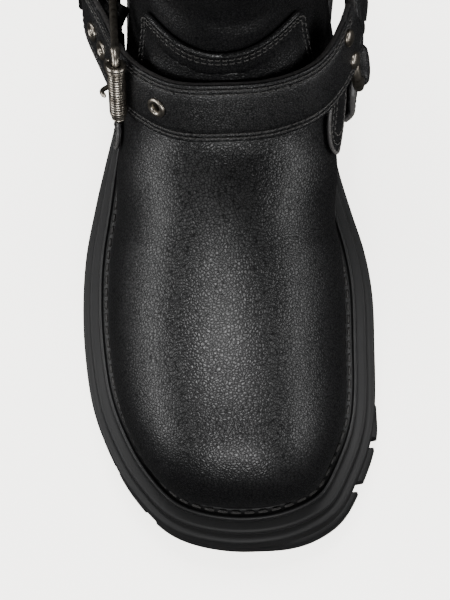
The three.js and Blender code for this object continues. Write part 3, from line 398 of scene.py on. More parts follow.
# The section planes turn fast round the heel; away from the seam the surface is eased over that turn
_soft = SURFACE.copy()
_weights = np.exp(-((np.arange(-14, 15) / 6.5) ** 2))
_weights /= _weights.sum()
for _i in range(135, 215):
    _soft[_i] = sum(w * SURFACE[_i + k] for w, k in zip(_weights, range(-14, 15)))
_height = (SURFACE[..., 2] - SURFACE[:, :1, 2]) / np.maximum(SURFACE[:, 80:81, 2] - SURFACE[:, :1, 2], 1)
_blend = smooth(0.12, 0.4, _height) * smooth(0.97, 0.85, _height)
_blend = _blend * (smooth(135, 150, np.arange(GRID_ROWS)) * smooth(215, 195, np.arange(GRID_ROWS)))[:, None]
SURFACE = SURFACE + (_soft - SURFACE) * _blend[..., None]
SURFACE_NORMALS = unit(np.cross(np.gradient(SURFACE, axis=0), np.gradient(SURFACE, axis=1)))
if SURFACE_NORMALS[90, 80, 2] < 0:
    SURFACE_NORMALS = -SURFACE_NORMALS


def on_grid(grid, s, v):
    """Value of a grid of the upper at sections s and turns v."""
    i = np.clip(np.asarray(s, float) * 10, 0, GRID_ROWS - 1.001)
    k = np.clip((np.asarray(v, float) + 1) * 80, 0, GRID_TURNS - 1.001)
    i0, k0 = np.floor(i).astype(int), np.floor(k).astype(int)
    a, b = (i - i0)[..., None], (k - k0)[..., None]
    return (
        grid[i0, k0] * (1 - a) * (1 - b) + grid[i0 + 1, k0] * a * (1 - b)
        + grid[i0, k0 + 1] * (1 - a) * b + grid[i0 + 1, k0 + 1] * a * b
    )


def on_upper(s, v, lift=0):
    s, v = np.broadcast_arrays(np.asarray(s, float), np.asarray(v, float))
    return on_grid(SURFACE, s, v) + unit(on_grid(SURFACE_NORMALS, s, v)) * np.asarray(lift)[..., None]


def upper_facing(s, v):
    s, v = np.broadcast_arrays(np.asarray(s, float), np.asarray(v, float))
    return unit(on_grid(SURFACE_NORMALS, s, v))


# Meshes ----------------------------------------------------------------------------------------


class Shape:
    """Points in millimetres and faces, gathered before they become one piece."""

    def __init__(self):
        self.points = []
        self.faces = []
        self.count = 0

    def add(self, points, faces):
        points = np.asarray(points, float).reshape(-1, 3)
        self.points.append(points)
        self.faces += [tuple(self.count + i for i in face) for face in faces]
        self.count += len(points)
        return self

    def loft(self, rows, closed=False, caps=True):
        """Skin over closed rows of points; closed joins the last row to the first."""
        rows = np.asarray(rows, float)
        n, m = rows.shape[:2]
        faces = []
        for i in range(n if closed else n - 1):
            j = (i + 1) % n
            for k in range(m):
                after = (k + 1) % m
                faces.append((i * m + k, i * m + after, j * m + after, j * m + k))
        if caps and not closed:
            faces.append(tuple(range(m))[::-1])
            faces.append(tuple((n - 1) * m + k for k in range(m)))
        return self.add(rows, faces)

    def stacked(self, loops):
        """Skin over level loops, closed below and above by strips across them."""
        count = len(loops[0])
        self.loft(loops, caps=False)
        last = (len(loops) - 1) * count
        self.faces += caps_across(count, 0) + [face[::-1] for face in caps_across(count, last)]
        return self

    def bar(self, path, radii, count=12, closed=False, guide=(0, 0, 1)):
        """A round bar along a path, with a radius at each point; guide keeps it from twisting."""
        path = np.asarray(path, float)
        radii = np.broadcast_to(np.asarray(radii, float), (len(path),))
        if closed:
            ahead = np.roll(path, -1, 0) - np.roll(path, 1, 0)
        else:
            ahead = np.gradient(path, axis=0)
        ahead = unit(ahead)
        guide = np.broadcast_to(np.asarray(guide, float), path.shape)
        side = unit(guide - ahead * (guide * ahead).sum(1, keepdims=True))
        other = np.cross(ahead, side)
        angles = np.arange(count) / count * 2 * math.pi
        rows = (
            path[:, None]
            + side[:, None] * (np.cos(angles)[None, :, None] * radii[:, None, None])
            + other[:, None] * (np.sin(angles)[None, :, None] * radii[:, None, None])
        )
        return self.loft(rows, closed)

    def turned(self, centre, axis, profile, count=40):
        """A turned form: profile rows are height along the axis and radius."""
        axis = unit(axis)
        side = unit(np.cross(axis, [0.31, 0.2, 0.93]))
        other = np.cross(axis, side)
        profile = np.asarray(profile, float)
        angles = np.arange(count) / count * 2 * math.pi
        spokes = np.cos(angles)[:, None] * side + np.sin(angles)[:, None] * other
        rows = (
            np.asarray(centre, float)
            + profile[None, :, 0, None] * axis
            + profile[None, :, 1, None] * spokes[:, None]
        )
        return self.loft(rows, closed=True)

    def stitches(self, path, facing, pitch, length, breadth, lift, closed=False):
        """A row of single thread stitches that dip into the leather at both ends."""
        path, facing = np.asarray(path, float), np.asarray(facing, float)
        joined = np.hstack([path, facing])
        if closed:
            joined = np.vstack([joined, joined[:1]])
        lengths = np.r_[0, np.cumsum(np.linalg.norm(np.diff(joined[:, :3], axis=0), axis=1))]
        count = max(1, int(lengths[-1] / pitch))
        spare = lengths[-1] - count * pitch if not closed else 0
        if closed:
            pitch = lengths[-1] / count
        profile = [(-0.5, 0.35, -0.9), (-0.42, 0.8, 0.1), (-0.2, 1, 0.8),
                   (0.2, 1, 0.8), (0.42, 0.8, 0.1), (0.5, 0.35, -0.9)]
        angles = np.arange(6) / 6 * 2 * math.pi
        for n in range(count):
            middle = spare / 2 + (n + 0.5) * pitch
            rows = []
            for share, thick, high in profile:
                at = middle + share * length
                value = np.array([np.interp(at, lengths, joined[:, k]) for k in range(6)])
                ahead = np.array([
                    np.interp(at + 0.6, lengths, joined[:, k]) - np.interp(at - 0.6, lengths, joined[:, k])
                    for k in range(3)
                ])
                up = unit(value[3:])
                side = unit(np.cross(ahead, up))
                centre = value[:3] + up * lift * high
                rows.append(
                    centre
                    + side * (np.cos(angles)[:, None] * breadth / 2 * thick)
                    + up * (np.sin(angles)[:, None] * breadth / 2.4 * thick)
                )
            self.loft(rows)
        return self

    def made(self, name, merge=0.0, kinds=None):
        """A Blender object in metres; kinds gives each face its material slot."""
        points = (np.vstack(self.points) + [CENTRE_X, 0, 0]) * 0.001
        mesh = bpy.data.meshes.new(name)
        mesh.from_pydata(points.tolist(), [], self.faces)
        if kinds is not None:
            mesh.polygons.foreach_set("material_index", kinds)
        mesh.update()
        work = bmesh.new()
        work.from_mesh(mesh)
        if merge:
            bmesh.ops.remove_doubles(work, verts=work.verts, dist=merge * 0.001)
            bmesh.ops.dissolve_degenerate(work, edges=work.edges, dist=1e-7)
        bmesh.ops.recalc_face_normals(work, faces=work.faces)
        work.to_mesh(mesh)
        work.free()
        made = bpy.data.objects.new(name, mesh)
        bpy.context.scene.collection.objects.link(made)
        return made

    def piece(self, name, material, slot, replaces=(), angle=40, merge=0.0, kinds=None):
        """Turn the shape into a visible piece that rides on the boot."""
        made = self.made(name, merge, kinds)
        made.data.shade_smooth()
        made.data.set_sharp_from_angle(angle=math.radians(angle))
        made.data.materials.append(material)
        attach(made, BODY)
        if replaces:
            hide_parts(*replaces)
        return made

    def metal(self, node, angle=40):
        return self.piece(f"{node}_metal", look("metal"), "metal", [node], angle=angle)


def caps_across(count, start):
    """Faces that close a loop of points by strips across it, from its first point to the far end."""
    faces = []
    low, high = 0, count - 1
    while high - low > 2:
        faces.append((start + low, start + low + 1, start + high - 1, start + high))
        low += 1
        high -= 1
    if high - low == 2:
        faces.append((start + low, start + low + 1, start + high))
    return faces


def combine(target, other, operation):
    """Join another form to a piece or take it out, and keep the result as the piece's real mesh."""
    modifier = target.modifiers.new("combine", "BOOLEAN")
    modifier.operation, modifier.solver, modifier.object = operation, "EXACT", other
    graph = bpy.context.evaluated_depsgraph_get()
    bpy.context.view_layer.update()
    mesh = bpy.data.meshes.new_from_object(target.evaluated_get(graph), depsgraph=graph)
    target.modifiers.clear()
    target.data = mesh
    mesh.shade_smooth()
    mesh.set_sharp_from_angle(angle=math.radians(38))
    bpy.data.objects.remove(other)


# Straps ----------------------------------------------------------------------------------------


def ring_centre(ring):
    return np.array([ring[0] * BALL_WIDTH, ring[1] * SOLE_LENGTH, ring[2] * BOOT_HEIGHT])


def ring_directions(ring):
    turn = math.radians(ring[3])
    normal = unit([math.cos(turn), math.sin(turn), 0.12])
    up = unit(np.array([0, 0, 1.0]) - normal * normal[2])
    back = unit(np.cross(up, normal))
    return normal, up, -back if back[1] < 0 else back


def ring_arc(ring, tube, start, end, steps, count):
    """Rows of round sections along a part of a ring; start None gives the whole ring."""
    centre = ring_centre(ring)
    normal, up, back = ring_directions(ring)
    if start is None:
        angles = np.arange(steps) / steps * 2 * math.pi
    else:
        angles = np.radians(np.linspace(start, end, steps + 1))
    tubes = np.broadcast_to(np.asarray(tube, float), angles.shape)
    spokes = np.cos(angles)[:, None] * back + np.sin(angles)[:, None] * up
    turn = np.arange(count) / count * 2 * math.pi
    return (
        centre
        + spokes[:, None] * (RING_RADIUS + tubes[:, None, None] * np.cos(turn)[None, :, None])
        + normal * (tubes[:, None, None] * np.sin(turn)[None, :, None])
    )


# Rows of the upper's grid that a strap can lie on
NEAR = slice(80, 241)


def strap_frames(rows, steps, outward):
    """Frames along a strap, laid clear of the upper: place, ahead, across, out, breadth."""
    rows = table(rows)
    t = np.linspace(0, 1, steps + 1)
    points = rows[:, :3] * [BALL_WIDTH, SOLE_LENGTH, BOOT_HEIGHT]
    at = curve_through(points, t)
    step = 1e-4
    ahead = unit(
        curve_through(points, np.minimum(t + step, 1)) - curve_through(points, np.maximum(t - step, 0)))
    across = along(rows[:, 3:6], t * (len(rows) - 1))
    across = unit(across - ahead * (across * ahead).sum(1, keepdims=True))
    out = unit(np.cross(ahead, across))
    wide = along(rows[:, 6], t * (len(rows) - 1)) * STRAP_WIDTH
    flip = (out * outward(at)).sum(1) < 0
    out[flip] *= -1
    start = at.copy()
    places = SURFACE[NEAR].reshape(-1, 3)[::2]
    facing = SURFACE_NORMALS[NEAR].reshape(-1, 3)[::2]
    for _ in range(3):
        lack = np.zeros(len(at))
        for share in (-0.5, -0.25, 0, 0.25, 0.5):
            inner = at + across * (share * wide)[:, None] - out * STRAP_THICK / 2
            near = np.argmin(((inner[:, None] - places[None]) ** 2).sum(2), axis=1)
            gap = ((inner - places[near]) * facing[near]).sum(1)
            lack = np.maximum(lack, np.where(inner[:, 0] > TAB_SIDE_FROM, TAB_CLEAR, STRAP_CLEAR) - gap)
        at = at + out * lack[:, None]
    # one even line instead of single pushes
    lift = ((at - start) * out).sum(1)
    padded = np.pad(lift, 4, mode="edge")
    held = np.array([padded[i + 2:i + 7].max() for i in range(len(lift))])
    padded = np.pad(held, 4, mode="edge")
    weights = np.exp(-((np.arange(-4, 5) / 2.2) ** 2))
    lift = np.array([(padded[i:i + 9] * weights).sum() / weights.sum() for i in range(len(lift))])
    at = start + out * lift[:, None]
    return {"at": at, "ahead": ahead, "across": across, "out": out, "wide": wide}


def denser(frames, times=5):
    """The same strap with more frames between."""
    count = len(frames["at"]) - 1
    t = np.linspace(0, count, count * times + 1)
    fine = {key: along(value, t) for key, value in frames.items()}
    for key in ("ahead", "across", "out"):
        fine[key] = unit(fine[key])
    return fine


def strap_profile(half, thick):
    """Cross-section of a stitched strap: rounded painted edges, two grooves a side, crowned face."""
    side = [(0, 0), (0, thick - 0.9), (0.25, thick - 0.3), (0.9, thick), (1.5, thick - 0.05),
            (2, thick - 0.3), (2.5, thick - 0.05), (3.3, thick + 0.05), (3.8, thick - 0.2),
            (4.3, thick + 0.1), (6.5, thick + 0.3)]
    points = [(-half + w, n) for w, n in side] + [(0, thick + 0.38)]
    points += [(half - w, n) for w, n in side[::-1]]
    points += [(half, -thick + 0.8), (half - 0.6, -thick), (0, -thick),
               (-half + 0.6, -thick), (-half, -thick + 0.8)]
    return np.array(points)


def strap_shape(frames, doubled=None):
    """A strap's solid; doubled is how many times its thickness it has at each frame."""
    rows = []
    for i in range(len(frames["at"])):
        deep = STRAP_THICK / 2 * (doubled[i] if doubled is not None else 1)
        profile = strap_profile(frames["wide"][i] / 2, deep)
        rows.append(
            frames["at"][i]
            + profile[:, :1] * frames["across"][i]
            + profile[:, 1:] * frames["out"][i]
        )
    return Shape().loft(rows)


def strap_stitches(shape, frames, pitch, ends):
    """Two rows of stitches along each edge of a strap, between two shares of its length."""
    count = len(frames["at"])
    keep = slice(int(count * ends[0]), int(count * ends[1]))
    out = frames["out"][keep]
    for side in (-1, 1):
        for offset in (2, 3.8):
            w = side * (frames["wide"][keep] / 2 - offset)
            path = frames["at"][keep] + frames["across"][keep] * w[:, None] + out * (STRAP_THICK / 2 - 0.15)
            shape.stitches(path, out, pitch, pitch * 0.82, 0.62, 0.25)


def from_axis(points):
    """Outward from the shaft's middle."""
    return np.stack([points[:, 0] - SHAFT_X, (points[:, 1] - SHAFT_Y) * 0.6, np.zeros(len(points))], 1)


def from_axis_and_instep(points):
    """Outward at the sides, and up and forward over the instep."""
    away = np.stack([points[:, 0] * 0.03, np.full(len(points), -0.8), np.full(len(points), 0.9)], 1)
    share = np.maximum(0, 1 - np.abs(points[:, 0]) / 40)[:, None]
    return unit(from_axis(points)) * (1 - share) + away * share


def sideways(points):
    return points * [1, 0, 0]


FRONT_STRAP = strap_frames(STRAP_PATHS["front"], FRONT_STEPS, from_axis_and_instep)
HEEL_STRAP = strap_frames(STRAP_PATHS["heel"], HEEL_STEPS, from_axis)
LOWER_STRAPS = {
    "medial": strap_frames(STRAP_PATHS["lowerMedial"], LOWER_STEPS, sideways),
    "lateral": strap_frames(STRAP_PATHS["lowerLateral"], LOWER_STEPS, sideways),
}


def front_step(row):
    """The front strap's nearest frame to a row of its table."""
    return int(round(row / (len(table(STRAP_PATHS["front"])) - 1) * FRONT_STEPS))


def spot(row):
    return {key: value[front_step(row)] for key, value in FRONT_STRAP.items()}


_roller_spot, _back_spot = spot(ROLLER_ROW), spot(BACK_ROW)
ROLLER_CENTRE = _roller_spot["at"] + _roller_spot["out"] * (STRAP_THICK / 2 + ROLLER_RADIUS + 0.9)
BACK_CENTRE = _back_spot["at"] - _back_spot["out"] * (STRAP_THICK / 2 + 4.9)
BUCKLE_LENGTH = float(np.linalg.norm(BACK_CENTRE - ROLLER_CENTRE))
BUCKLE_U = unit(BACK_CENTRE - ROLLER_CENTRE)
BUCKLE_W = unit(_roller_spot["across"] - BUCKLE_U * (_roller_spot["across"] @ BUCKLE_U))
BUCKLE_N = unit(np.cross(BUCKLE_U, BUCKLE_W))
if BUCKLE_N[0] > 0:
    BUCKLE_N = -BUCKLE_N
FRAME_HALF = STRAP_WIDTH / 2 + 3.2
CORNER = 4


def buckle_at(u, w, n=0.0):
    """A point in the buckle's own directions: along to the bar, across, and off the strap."""
    return ROLLER_CENTRE + BUCKLE_U * u + BUCKLE_W * w + BUCKLE_N * n


def eyelet_spots():
    """Places and facings of the four eyelets: the free one, the one in use and two beyond it."""
    places = FRONT_STRAP["at"]
    arc = np.r_[0, np.cumsum(np.linalg.norm(np.diff(places, axis=0), axis=1))]
    spots = []
    for k in (-2.7, 0, 1, 2):
        target = arc[front_step(HOLE_ROW)] + k * EYELET_PITCH
        i = int(np.argmin(np.abs(arc - target)))
        at = places[i] + FRONT_STRAP["ahead"][i] * (target - arc[i])
        spots.append((at, FRONT_STRAP["out"][i]))
    return spots


# Materials -------------------------------------------------------------------------------------


def srgb(colour):
    """Linear colour from a written hex one, such as #1C1B1D."""
    values = [int(colour[i:i + 2], 16) / 255 for i in (1, 3, 5)]
    return (*[v / 12.92 if v <= 0.04045 else ((v + 0.055) / 1.055) ** 2.4 for v in values], 1.0)


def add_node(tree, kind, settings=None, inputs=None):
    """Add a node, make its settings, and give each input a value or another node's output."""
    made = tree.nodes.new(kind)
    for key, value in (settings or {}).items():
        setattr(made, key, value)
    for key, value in (inputs or {}).items():
        socket = made.inputs[key]
        if isinstance(value, bpy.types.NodeSocket):
            tree.links.new(value, socket)
        else:
            socket.default_value = value
    return made


def new_material(name, preview):
    material = bpy.data.materials.new(name)
    material.use_nodes = True
    material.diffuse_color = srgb(preview)
    tree = material.node_tree
    tree.nodes.clear()
    place = add_node(tree, "ShaderNodeTexCoord")
    millimetres = add_node(tree, "ShaderNodeMapping", inputs={
        "Vector": place.outputs["Object"], "Scale": (1000, 1000, 1000)})
    return material, tree, millimetres.outputs["Vector"]


def ramp(tree, value, stops):
    """A colour ramp from (position, hex) stops."""
    made = add_node(tree, "ShaderNodeValToRGB", inputs={"Fac": value})
    elements = made.color_ramp.elements
    while len(elements) < len(stops):
        elements.new(0.5)
    for element, (position, colour) in zip(elements, stops):
        element.position = position
        element.color = srgb(colour)
    return made.outputs["Color"]


def noise(tree, where, size_mm, detail=4.0, rough=0.55):
    """Cloudy noise with spots of about a size in millimetres."""
    return add_node(
        tree, "ShaderNodeTexNoise",
        inputs={"Vector": where, "Scale": 1 / size_mm, "Detail": detail, "Roughness": rough},
    ).outputs["Fac"]


def calc(tree, operation, a, b, c=0.0):
    return add_node(tree, "ShaderNodeMath", {"operation": operation}, {0: a, 1: b, 2: c}).outputs["Value"]


def between(tree, value, low, high):
    """Map 0..1 to low..high."""
    return add_node(
        tree, "ShaderNodeMapRange", inputs={"Value": value, "To Min": low, "To Max": high}
    ).outputs["Result"]


def eased_edge(tree, cells, width):
    """0 on the lines between cells and 1 in the cells, over a share of a cell's breadth."""
    return add_node(tree, "ShaderNodeMapRange", {"interpolation_type": "SMOOTHSTEP"},
                    {"Value": cells.outputs["Distance"], "From Max": width}).outputs["Result"]


def finished(tree, height, strength, depth_mm, settings):
    """The surface's shader: a bump of the height, and the given values on the shader's sockets."""
    bump = add_node(tree, "ShaderNodeBump", inputs={
        "Strength": strength, "Distance": depth_mm * 0.001, "Height": height})
    shader = add_node(tree, "ShaderNodeBsdfPrincipled", inputs={"Normal": bump.outputs["Normal"], **settings})
    add_node(tree, "ShaderNodeOutputMaterial", inputs={"Surface": shader.outputs["BSDF"]})


def pebbled_leather(name, grain_mm, light, colour, crease_shade_colour, rough, depth_mm):
    """Drum-dyed cowhide, pebble-grained by milling: soft lumps between fine creases that are duller,
    and a thin satin finish that gives broad soft lights. The colour has painted shade in the creases
    and painted light on the tops of the pebbles."""
    material, tree, where = new_material(name, colour)
    shift = add_node(tree, "ShaderNodeTexNoise", inputs={"Vector": where, "Scale": 1 / 2.6, "Detail": 2.0})
    bent = add_node(tree, "ShaderNodeVectorMath", {"operation": "MULTIPLY_ADD"},
                    {0: shift.outputs["Color"], 1: (grain_mm * 0.6,) * 3, 2: where})
    cell = add_node(tree, "ShaderNodeTexVoronoi", {"feature": "DISTANCE_TO_EDGE"},
                    {"Vector": bent.outputs["Vector"], "Scale": 1 / grain_mm})
    crease = eased_edge(tree, cell, 0.42)
    # Across the foot the fine creases run on longer, as leather wrinkles where it bends
    long = add_node(tree, "ShaderNodeVectorMath", {"operation": "MULTIPLY"},
                    {0: bent.outputs["Vector"], 1: (0.38, 1, 1)})
    fine = add_node(tree, "ShaderNodeTexVoronoi", {"feature": "DISTANCE_TO_EDGE"},
                    {"Vector": long.outputs["Vector"], "Scale": 1.25 / grain_mm})
    fine_crease = eased_edge(tree, fine, 0.3)
    # Thin lines between the pebbles give back little light
    open_grain = calc(tree, "MULTIPLY", eased_edge(tree, cell, 0.15), between(tree, fine_crease, 0.7, 1.0))
    lumps = noise(tree, where, grain_mm * 3.5, 2.0)
    height = calc(tree, "MULTIPLY_ADD", fine_crease, 0.28, crease)
    height = calc(tree, "ADD", height, calc(tree, "MULTIPLY", lumps, 0.9))
    worn = noise(tree, where, 26, 3.0)
    # Base colour: painted shade darkens the creases and painted light brightens the pebbles' tops; the slow
    # noise adds real uneven tone
    tone = calc(tree, "MULTIPLY", crease, between(tree, worn, 0.55, 1.0))
    base = ramp(tree, tone, [(0.0, crease_shade_colour), (0.55, colour), (1.0, light)])
    shine = calc(tree, "ADD", between(tree, crease, rough + 0.14, rough),
                 between(tree, worn, -0.06, 0.08))
    finished(tree, height, 0.9, depth_mm, {
        "Base Color": base, "Roughness": shine, "IOR": 1.5,
        "Coat Weight": calc(tree, "MULTIPLY", open_grain, 0.08), "Coat Roughness": 0.28,
        "Specular IOR Level": between(tree, open_grain, 0.2, 0.74),
    })
    return material


def moulded_rubber(name, colour, light, rough):
    """Moulded black rubber: matt, with the fine even tooth of the mould and a grey bloom."""
    material, tree, where = new_material(name, colour)
    # A mould's tooth is about 0.2 mm; it is drawn at 0.7 mm, coarser, so that it shows
    tooth = noise(tree, where, 0.7, 3.0)
    bloom = noise(tree, where, 18, 4.0)
    base = ramp(tree, bloom, [(0.3, colour), (0.75, light)])
    finished(tree, tooth, 0.35, 0.12, {
        "Base Color": base, "Roughness": between(tree, bloom, rough - 0.05, rough + 0.08), "IOR": 1.5})
    return material


def aged_nickel(name, bright, dull):
    """Steel, tumbled and nickel plated, then darkened: warm grey metal with fine scuffs and
    duller spots where the plating has aged."""
    material, tree, where = new_material(name, bright)
    patina = noise(tree, where, 3.2, 5.0, 0.65)
    # Tumbling scuffs are finer than 0.1 mm; they are drawn at 0.5 mm so that they show
    scuffs = noise(tree, where, 0.5, 2.0)
    base = ramp(tree, patina, [(0.35, dull), (0.62, bright)])
    finished(tree, scuffs, 0.3, 0.06, {
        "Base Color": base, "Metallic": 1.0, "Roughness": between(tree, patina, 0.44, 0.24)})
    return material


def waxed_thread(name, colour, light):
    """Waxed and twisted polyester thread: small slanting strands with a dull shine."""
    material, tree, where = new_material(name, colour)
    # The strands are about 0.2 mm wide; the bands are drawn near 1 mm so that they show
    strands = add_node(tree, "ShaderNodeTexWave", {"bands_direction": "DIAGONAL"},
                       {"Vector": where, "Scale": 0.9, "Distortion": 1.5, "Detail": 1.0})
    base = ramp(tree, strands.outputs["Fac"], [(0.2, colour), (0.9, light)])
    finished(tree, strands.outputs["Fac"], 0.5, 0.1, {"Base Color": base, "Roughness": 0.55})
    return material


def edge_paint(name, colour, light):
    """Cut leather edge, rubbed and painted: smoother and a little lighter than the grain side."""
    material, tree, where = new_material(name, colour)
    fibres = noise(tree, where, 0.9, 3.0)
    base = ramp(tree, fibres, [(0.3, colour), (0.8, light)])
    finished(tree, fibres, 0.3, 0.1, {"Base Color": base, "Roughness": 0.42})
    return material


def suede_lining(name, colour, light):
    """Split leather lining with a short nap: brown-black, dull, with a soft cloudy tone."""
    material, tree, where = new_material(name, colour)
    # The nap's fibres are finer than 0.1 mm; its tufts are drawn at 0.6 mm
    nap = noise(tree, where, 0.6, 4.0)
    clouds = noise(tree, where, 12, 3.0)
    base = ramp(tree, clouds, [(0.3, colour), (0.75, light)])
    finished(tree, nap, 0.5, 0.2, {
        "Base Color": base, "Roughness": 0.92, "Sheen Weight": 0.25, "Sheen Roughness": 0.5})
    return material


LOOKS = {}


def look(name):
    """Each finish is made once, from the colours in the panel."""
    if name not in LOOKS:
        c = bpy.context.scene.boot_colours
        tones = (c.leather_pebble_top_light, c.leather, c.leather_crease_shade)
        makers = {
            "vamp": lambda: pebbled_leather("Pebbled cowhide, upper", c.grain * 1000, *tones, 0.34, 0.09),
            "strap": lambda: pebbled_leather("Pebbled cowhide, straps", c.grain * 800, *tones, 0.38, 0.1),
            "edge": lambda: edge_paint("Painted leather edge", "#2B2A2B", "#4C4A49"),
            "lining": lambda: suede_lining("Split leather lining", "#2A2522", "#3D3631"),
            "sock": lambda: suede_lining("Leather sock lining", "#2C2621", "#40382F"),
            "rubber": lambda: moulded_rubber("Moulded rubber, outsole", c.rubber, "#0B0B0C", 0.62),
            "welt": lambda: moulded_rubber("Moulded rubber, welt", c.rubber, "#0D0D0E", 0.52),
            "thread": lambda: waxed_thread("Waxed polyester thread", "#1C1C1D", "#3E3C3A"),
            "metal": lambda: aged_nickel("Aged nickel-plated steel", c.metal, "#6A635A"),
        }
        LOOKS[name] = makers[name]()
    return LOOKS[name]


# Properties ------------------------------------------------------------------------------------


def length_setting(name, description, default):
    return bpy.props.FloatProperty(name=name, description=description, default=default, unit="LENGTH")


def colour_setting(name, description, default):
    return bpy.props.StringProperty(name=name, description=description, default=default)


class BootSizes(bpy.types.PropertyGroup):
    """Sizes that change how fine the stitching is."""

    strap_pitch: length_setting("Strap stitch", "Length from stitch to stitch on the straps", 0.0029)
    welt_pitch: length_setting("Welt stitch", "Length from stitch to stitch in the welt channel", 0.0052)
    upper_pitch: length_setting("Upper stitch", "Length from stitch to stitch on the overlays", 0.0026)


class BootColours(bpy.types.PropertyGroup):
    """Colours as sRGB hex values, and the breadth of the leather's pebbles."""

    leather: colour_setting("Leather", "Main tone of the leather", "#080809")
    # Painted light: the lighter tone laid on the tops of the pebbles
    leather_pebble_top_light: colour_setting("Leather, worn", "Tone of the tops of the pebbles", "#0F0F10")
    # Painted shade: the darker tone laid in the creases between the pebbles
    leather_crease_shade: colour_setting("Leather, creases", "Tone between the pebbles", "#030304")
    rubber: colour_setting("Rubber", "Main tone of the sole", "#050506")
    metal: colour_setting("Metal", "Tone of the nickel plating", "#B0A99E")
    floor: colour_setting("Floor", "Tone of the floor", "#F2F1EE")
    grain: length_setting("Pebble", "Breadth of one pebble of the upper's grain", 0.0012)


def stitch_pitch(key):
    """A stitch length from the panel, in millimetres."""
    return getattr(bpy.context.scene.boot_sizes, key) * 1000


def quads(n, m, start=0):
    """Faces of a grid of n rows of m points, facing one way."""
    return [(start + i * m + k, start + i * m + k + 1, start + (i + 1) * m + k + 1, start + (i + 1) * m + k)
            for i in range(n - 1) for k in range(m - 1)]


def sewn(shape, s, v, lift=0.0, raised=0.2):
    """Stitches on the upper along sections s and turns v."""
    shape.stitches(on_upper(s, v, lift), upper_facing(s, v), stitch_pitch("upper_pitch"), 2.1,
                   STITCH_BREADTH, raised)


# Fine creases in the slack shaft just above the harness: level, turn, spread, depth, band, slope
CREASES = """
0.452 -42 34 -1.3 0.012 0.05, 0.468 12 30 -0.9 0.01 -0.05, 0.492 34 40 -1.2 0.014 0.06,
0.503 -62 36 -1.2 0.013 -0.04, 0.545 -14 46 -1.1 0.014 0.05, 0.583 52 40 -1 0.012 -0.05,
0.598 -70 42 -1 0.014 0.06, 0.645 24 44 -0.9 0.013 -0.04, 0.66 170 40 -1 0.014 0.05,
0.572 140 42 -1.1 0.013 -0.05, 0.75 -80 44 -0.9 0.014 0.05, 0.7 60 40 -0.9 0.012 -0.05
"""


# Pieces ----------------------------------------------------------------------------------------


class BOOT_OT_upper(bpy.types.Operator):
    """Builds the leather body with its folds, its lining and the rows of stitches at the collar"""

    bl_idname = "boot.upper"
    bl_label = "Upper"

    def execute(self, context):
        stops = np.unique(np.r_[np.linspace(0, 2, 16), np.linspace(2, 17, 118), np.linspace(17, 27, 118)])
        turns = np.linspace(-1, 1, 193)
        outer = upper_grid(stops, turns, table(CREASES))
        eased = on_upper(stops[:, None], turns[None])
        plain = upper_grid(stops, turns)
        outer = outer + (eased - plain) * (smooth(12, 14, stops) * smooth(22.5, 21, stops))[:, None, None]
        ds, dv = np.gradient(outer, axis=0), np.gradient(outer, axis=1)
        seam = stops > HEEL_ROW
        dv[seam, 0] = dv[seam, -1] = (outer[seam, 1] - outer[seam, -2]) / 2
        facing = unit(np.cross(ds, dv))
        if facing[60, 96, 2] < 0:
            facing = -facing
        facing[0] = [0, -1, 0]
        edge = stops <= HEEL_ROW
        for k in (0, -1):
            facing[edge, k, 2] = 0
        facing[-1, :, 2] = 0
        facing = unit(facing)
        inner = outer - facing * WALL
        n, m = outer.shape[:2]
        shape = Shape()
        shape.add(outer, quads(n, m))
        skin = len(shape.faces)
        shape.add(inner, [face[::-1] for face in quads(n, m)])
        total = n * m
        lining = len(shape.faces)
        last_edge = int(np.nonzero(edge)[0][-1])
        for i in range(last_edge):
            a, b = i * m, (i + 1) * m
            shape.faces.append((a, b, b + total, a + total))
            a, b = i * m + m - 1, (i + 1) * m + m - 1
            shape.faces.append((a + total, b + total, b, a))
        for k in range(m - 1):
            a, b = (n - 1) * m + k, (n - 1) * m + k + 1
            shape.faces.append((a, b, b + total, a + total))
        kinds = [0] * skin + [1] * (lining - skin) + [2] * (len(shape.faces) - lining)
        made = shape.piece(
            "upper_leather", look("vamp"), "leather", ["upper"], angle=50, merge=0.02, kinds=kinds)
        made.data.materials.append(look("lining"))
        made.data.materials.append(look("edge"))
        # collar: two rows of stitches round it, and one on each side of the closed seam down the back
        shape = Shape()
        turns = np.linspace(-1, 1, 240)
        for s in (26.62, 26.4):
            sewn(shape, s, turns)
        for v in (-0.985, 0.985):
            sewn(shape, np.linspace(17.6, 26.9, 220), v)
        shape.piece("upper_stitching", look("thread"), "leather")
        return {"FINISHED"}


def overlay(shape, border, columns, rows, lift, thick):
    """A leather patch on the upper; border gives sections and turns for two shares from 0 to 1."""
    a, b = np.meshgrid(np.linspace(0, 1, columns), np.linspace(0, 1, rows), indexing="ij")
    s, v = border(a, b)
    inner = on_upper(s, v, lift)
    edge = np.minimum.reduce([a, 1 - a, b, 1 - b])
    rounded = thick * (0.55 + 0.45 * smooth(0, 0.035, edge)) - 0.25 * np.exp(-(((edge - 0.075) / 0.02) ** 2))
    outer = on_upper(s, v, lift + rounded)
    n, m = a.shape
    total = n * m
    faces = quads(n, m) + [face[::-1] for face in quads(n, m, total)]
    rim = [k for k in range(m)] + [i * m + m - 1 for i in range(1, n)]
    rim += [(n - 1) * m + k for k in range(m - 2, -1, -1)] + [i * m for i in range(n - 2, 0, -1)]
    for p, q in zip(rim, rim[1:] + rim[:1]):
        faces.append((p, q, q + total, p + total))
    shape.add(np.vstack([outer.reshape(-1, 3), inner.reshape(-1, 3)]), faces)
    return shape


TONGUE_HALF = 0.41


def tongue_border(a, b):
    """The vamp's top flap: straight below, with rounded corners above."""
    w = 2 * a - 1
    v = w * TONGUE_HALF
    low = 12.6 + 5 * v * v
    high = 14.75 + 9.3 * v * v
    rounded = 0.12 + 0.88 * np.sqrt(np.maximum(0, 1 - np.abs(w) ** 9))
    return low + (high - low) * rounded * b, v


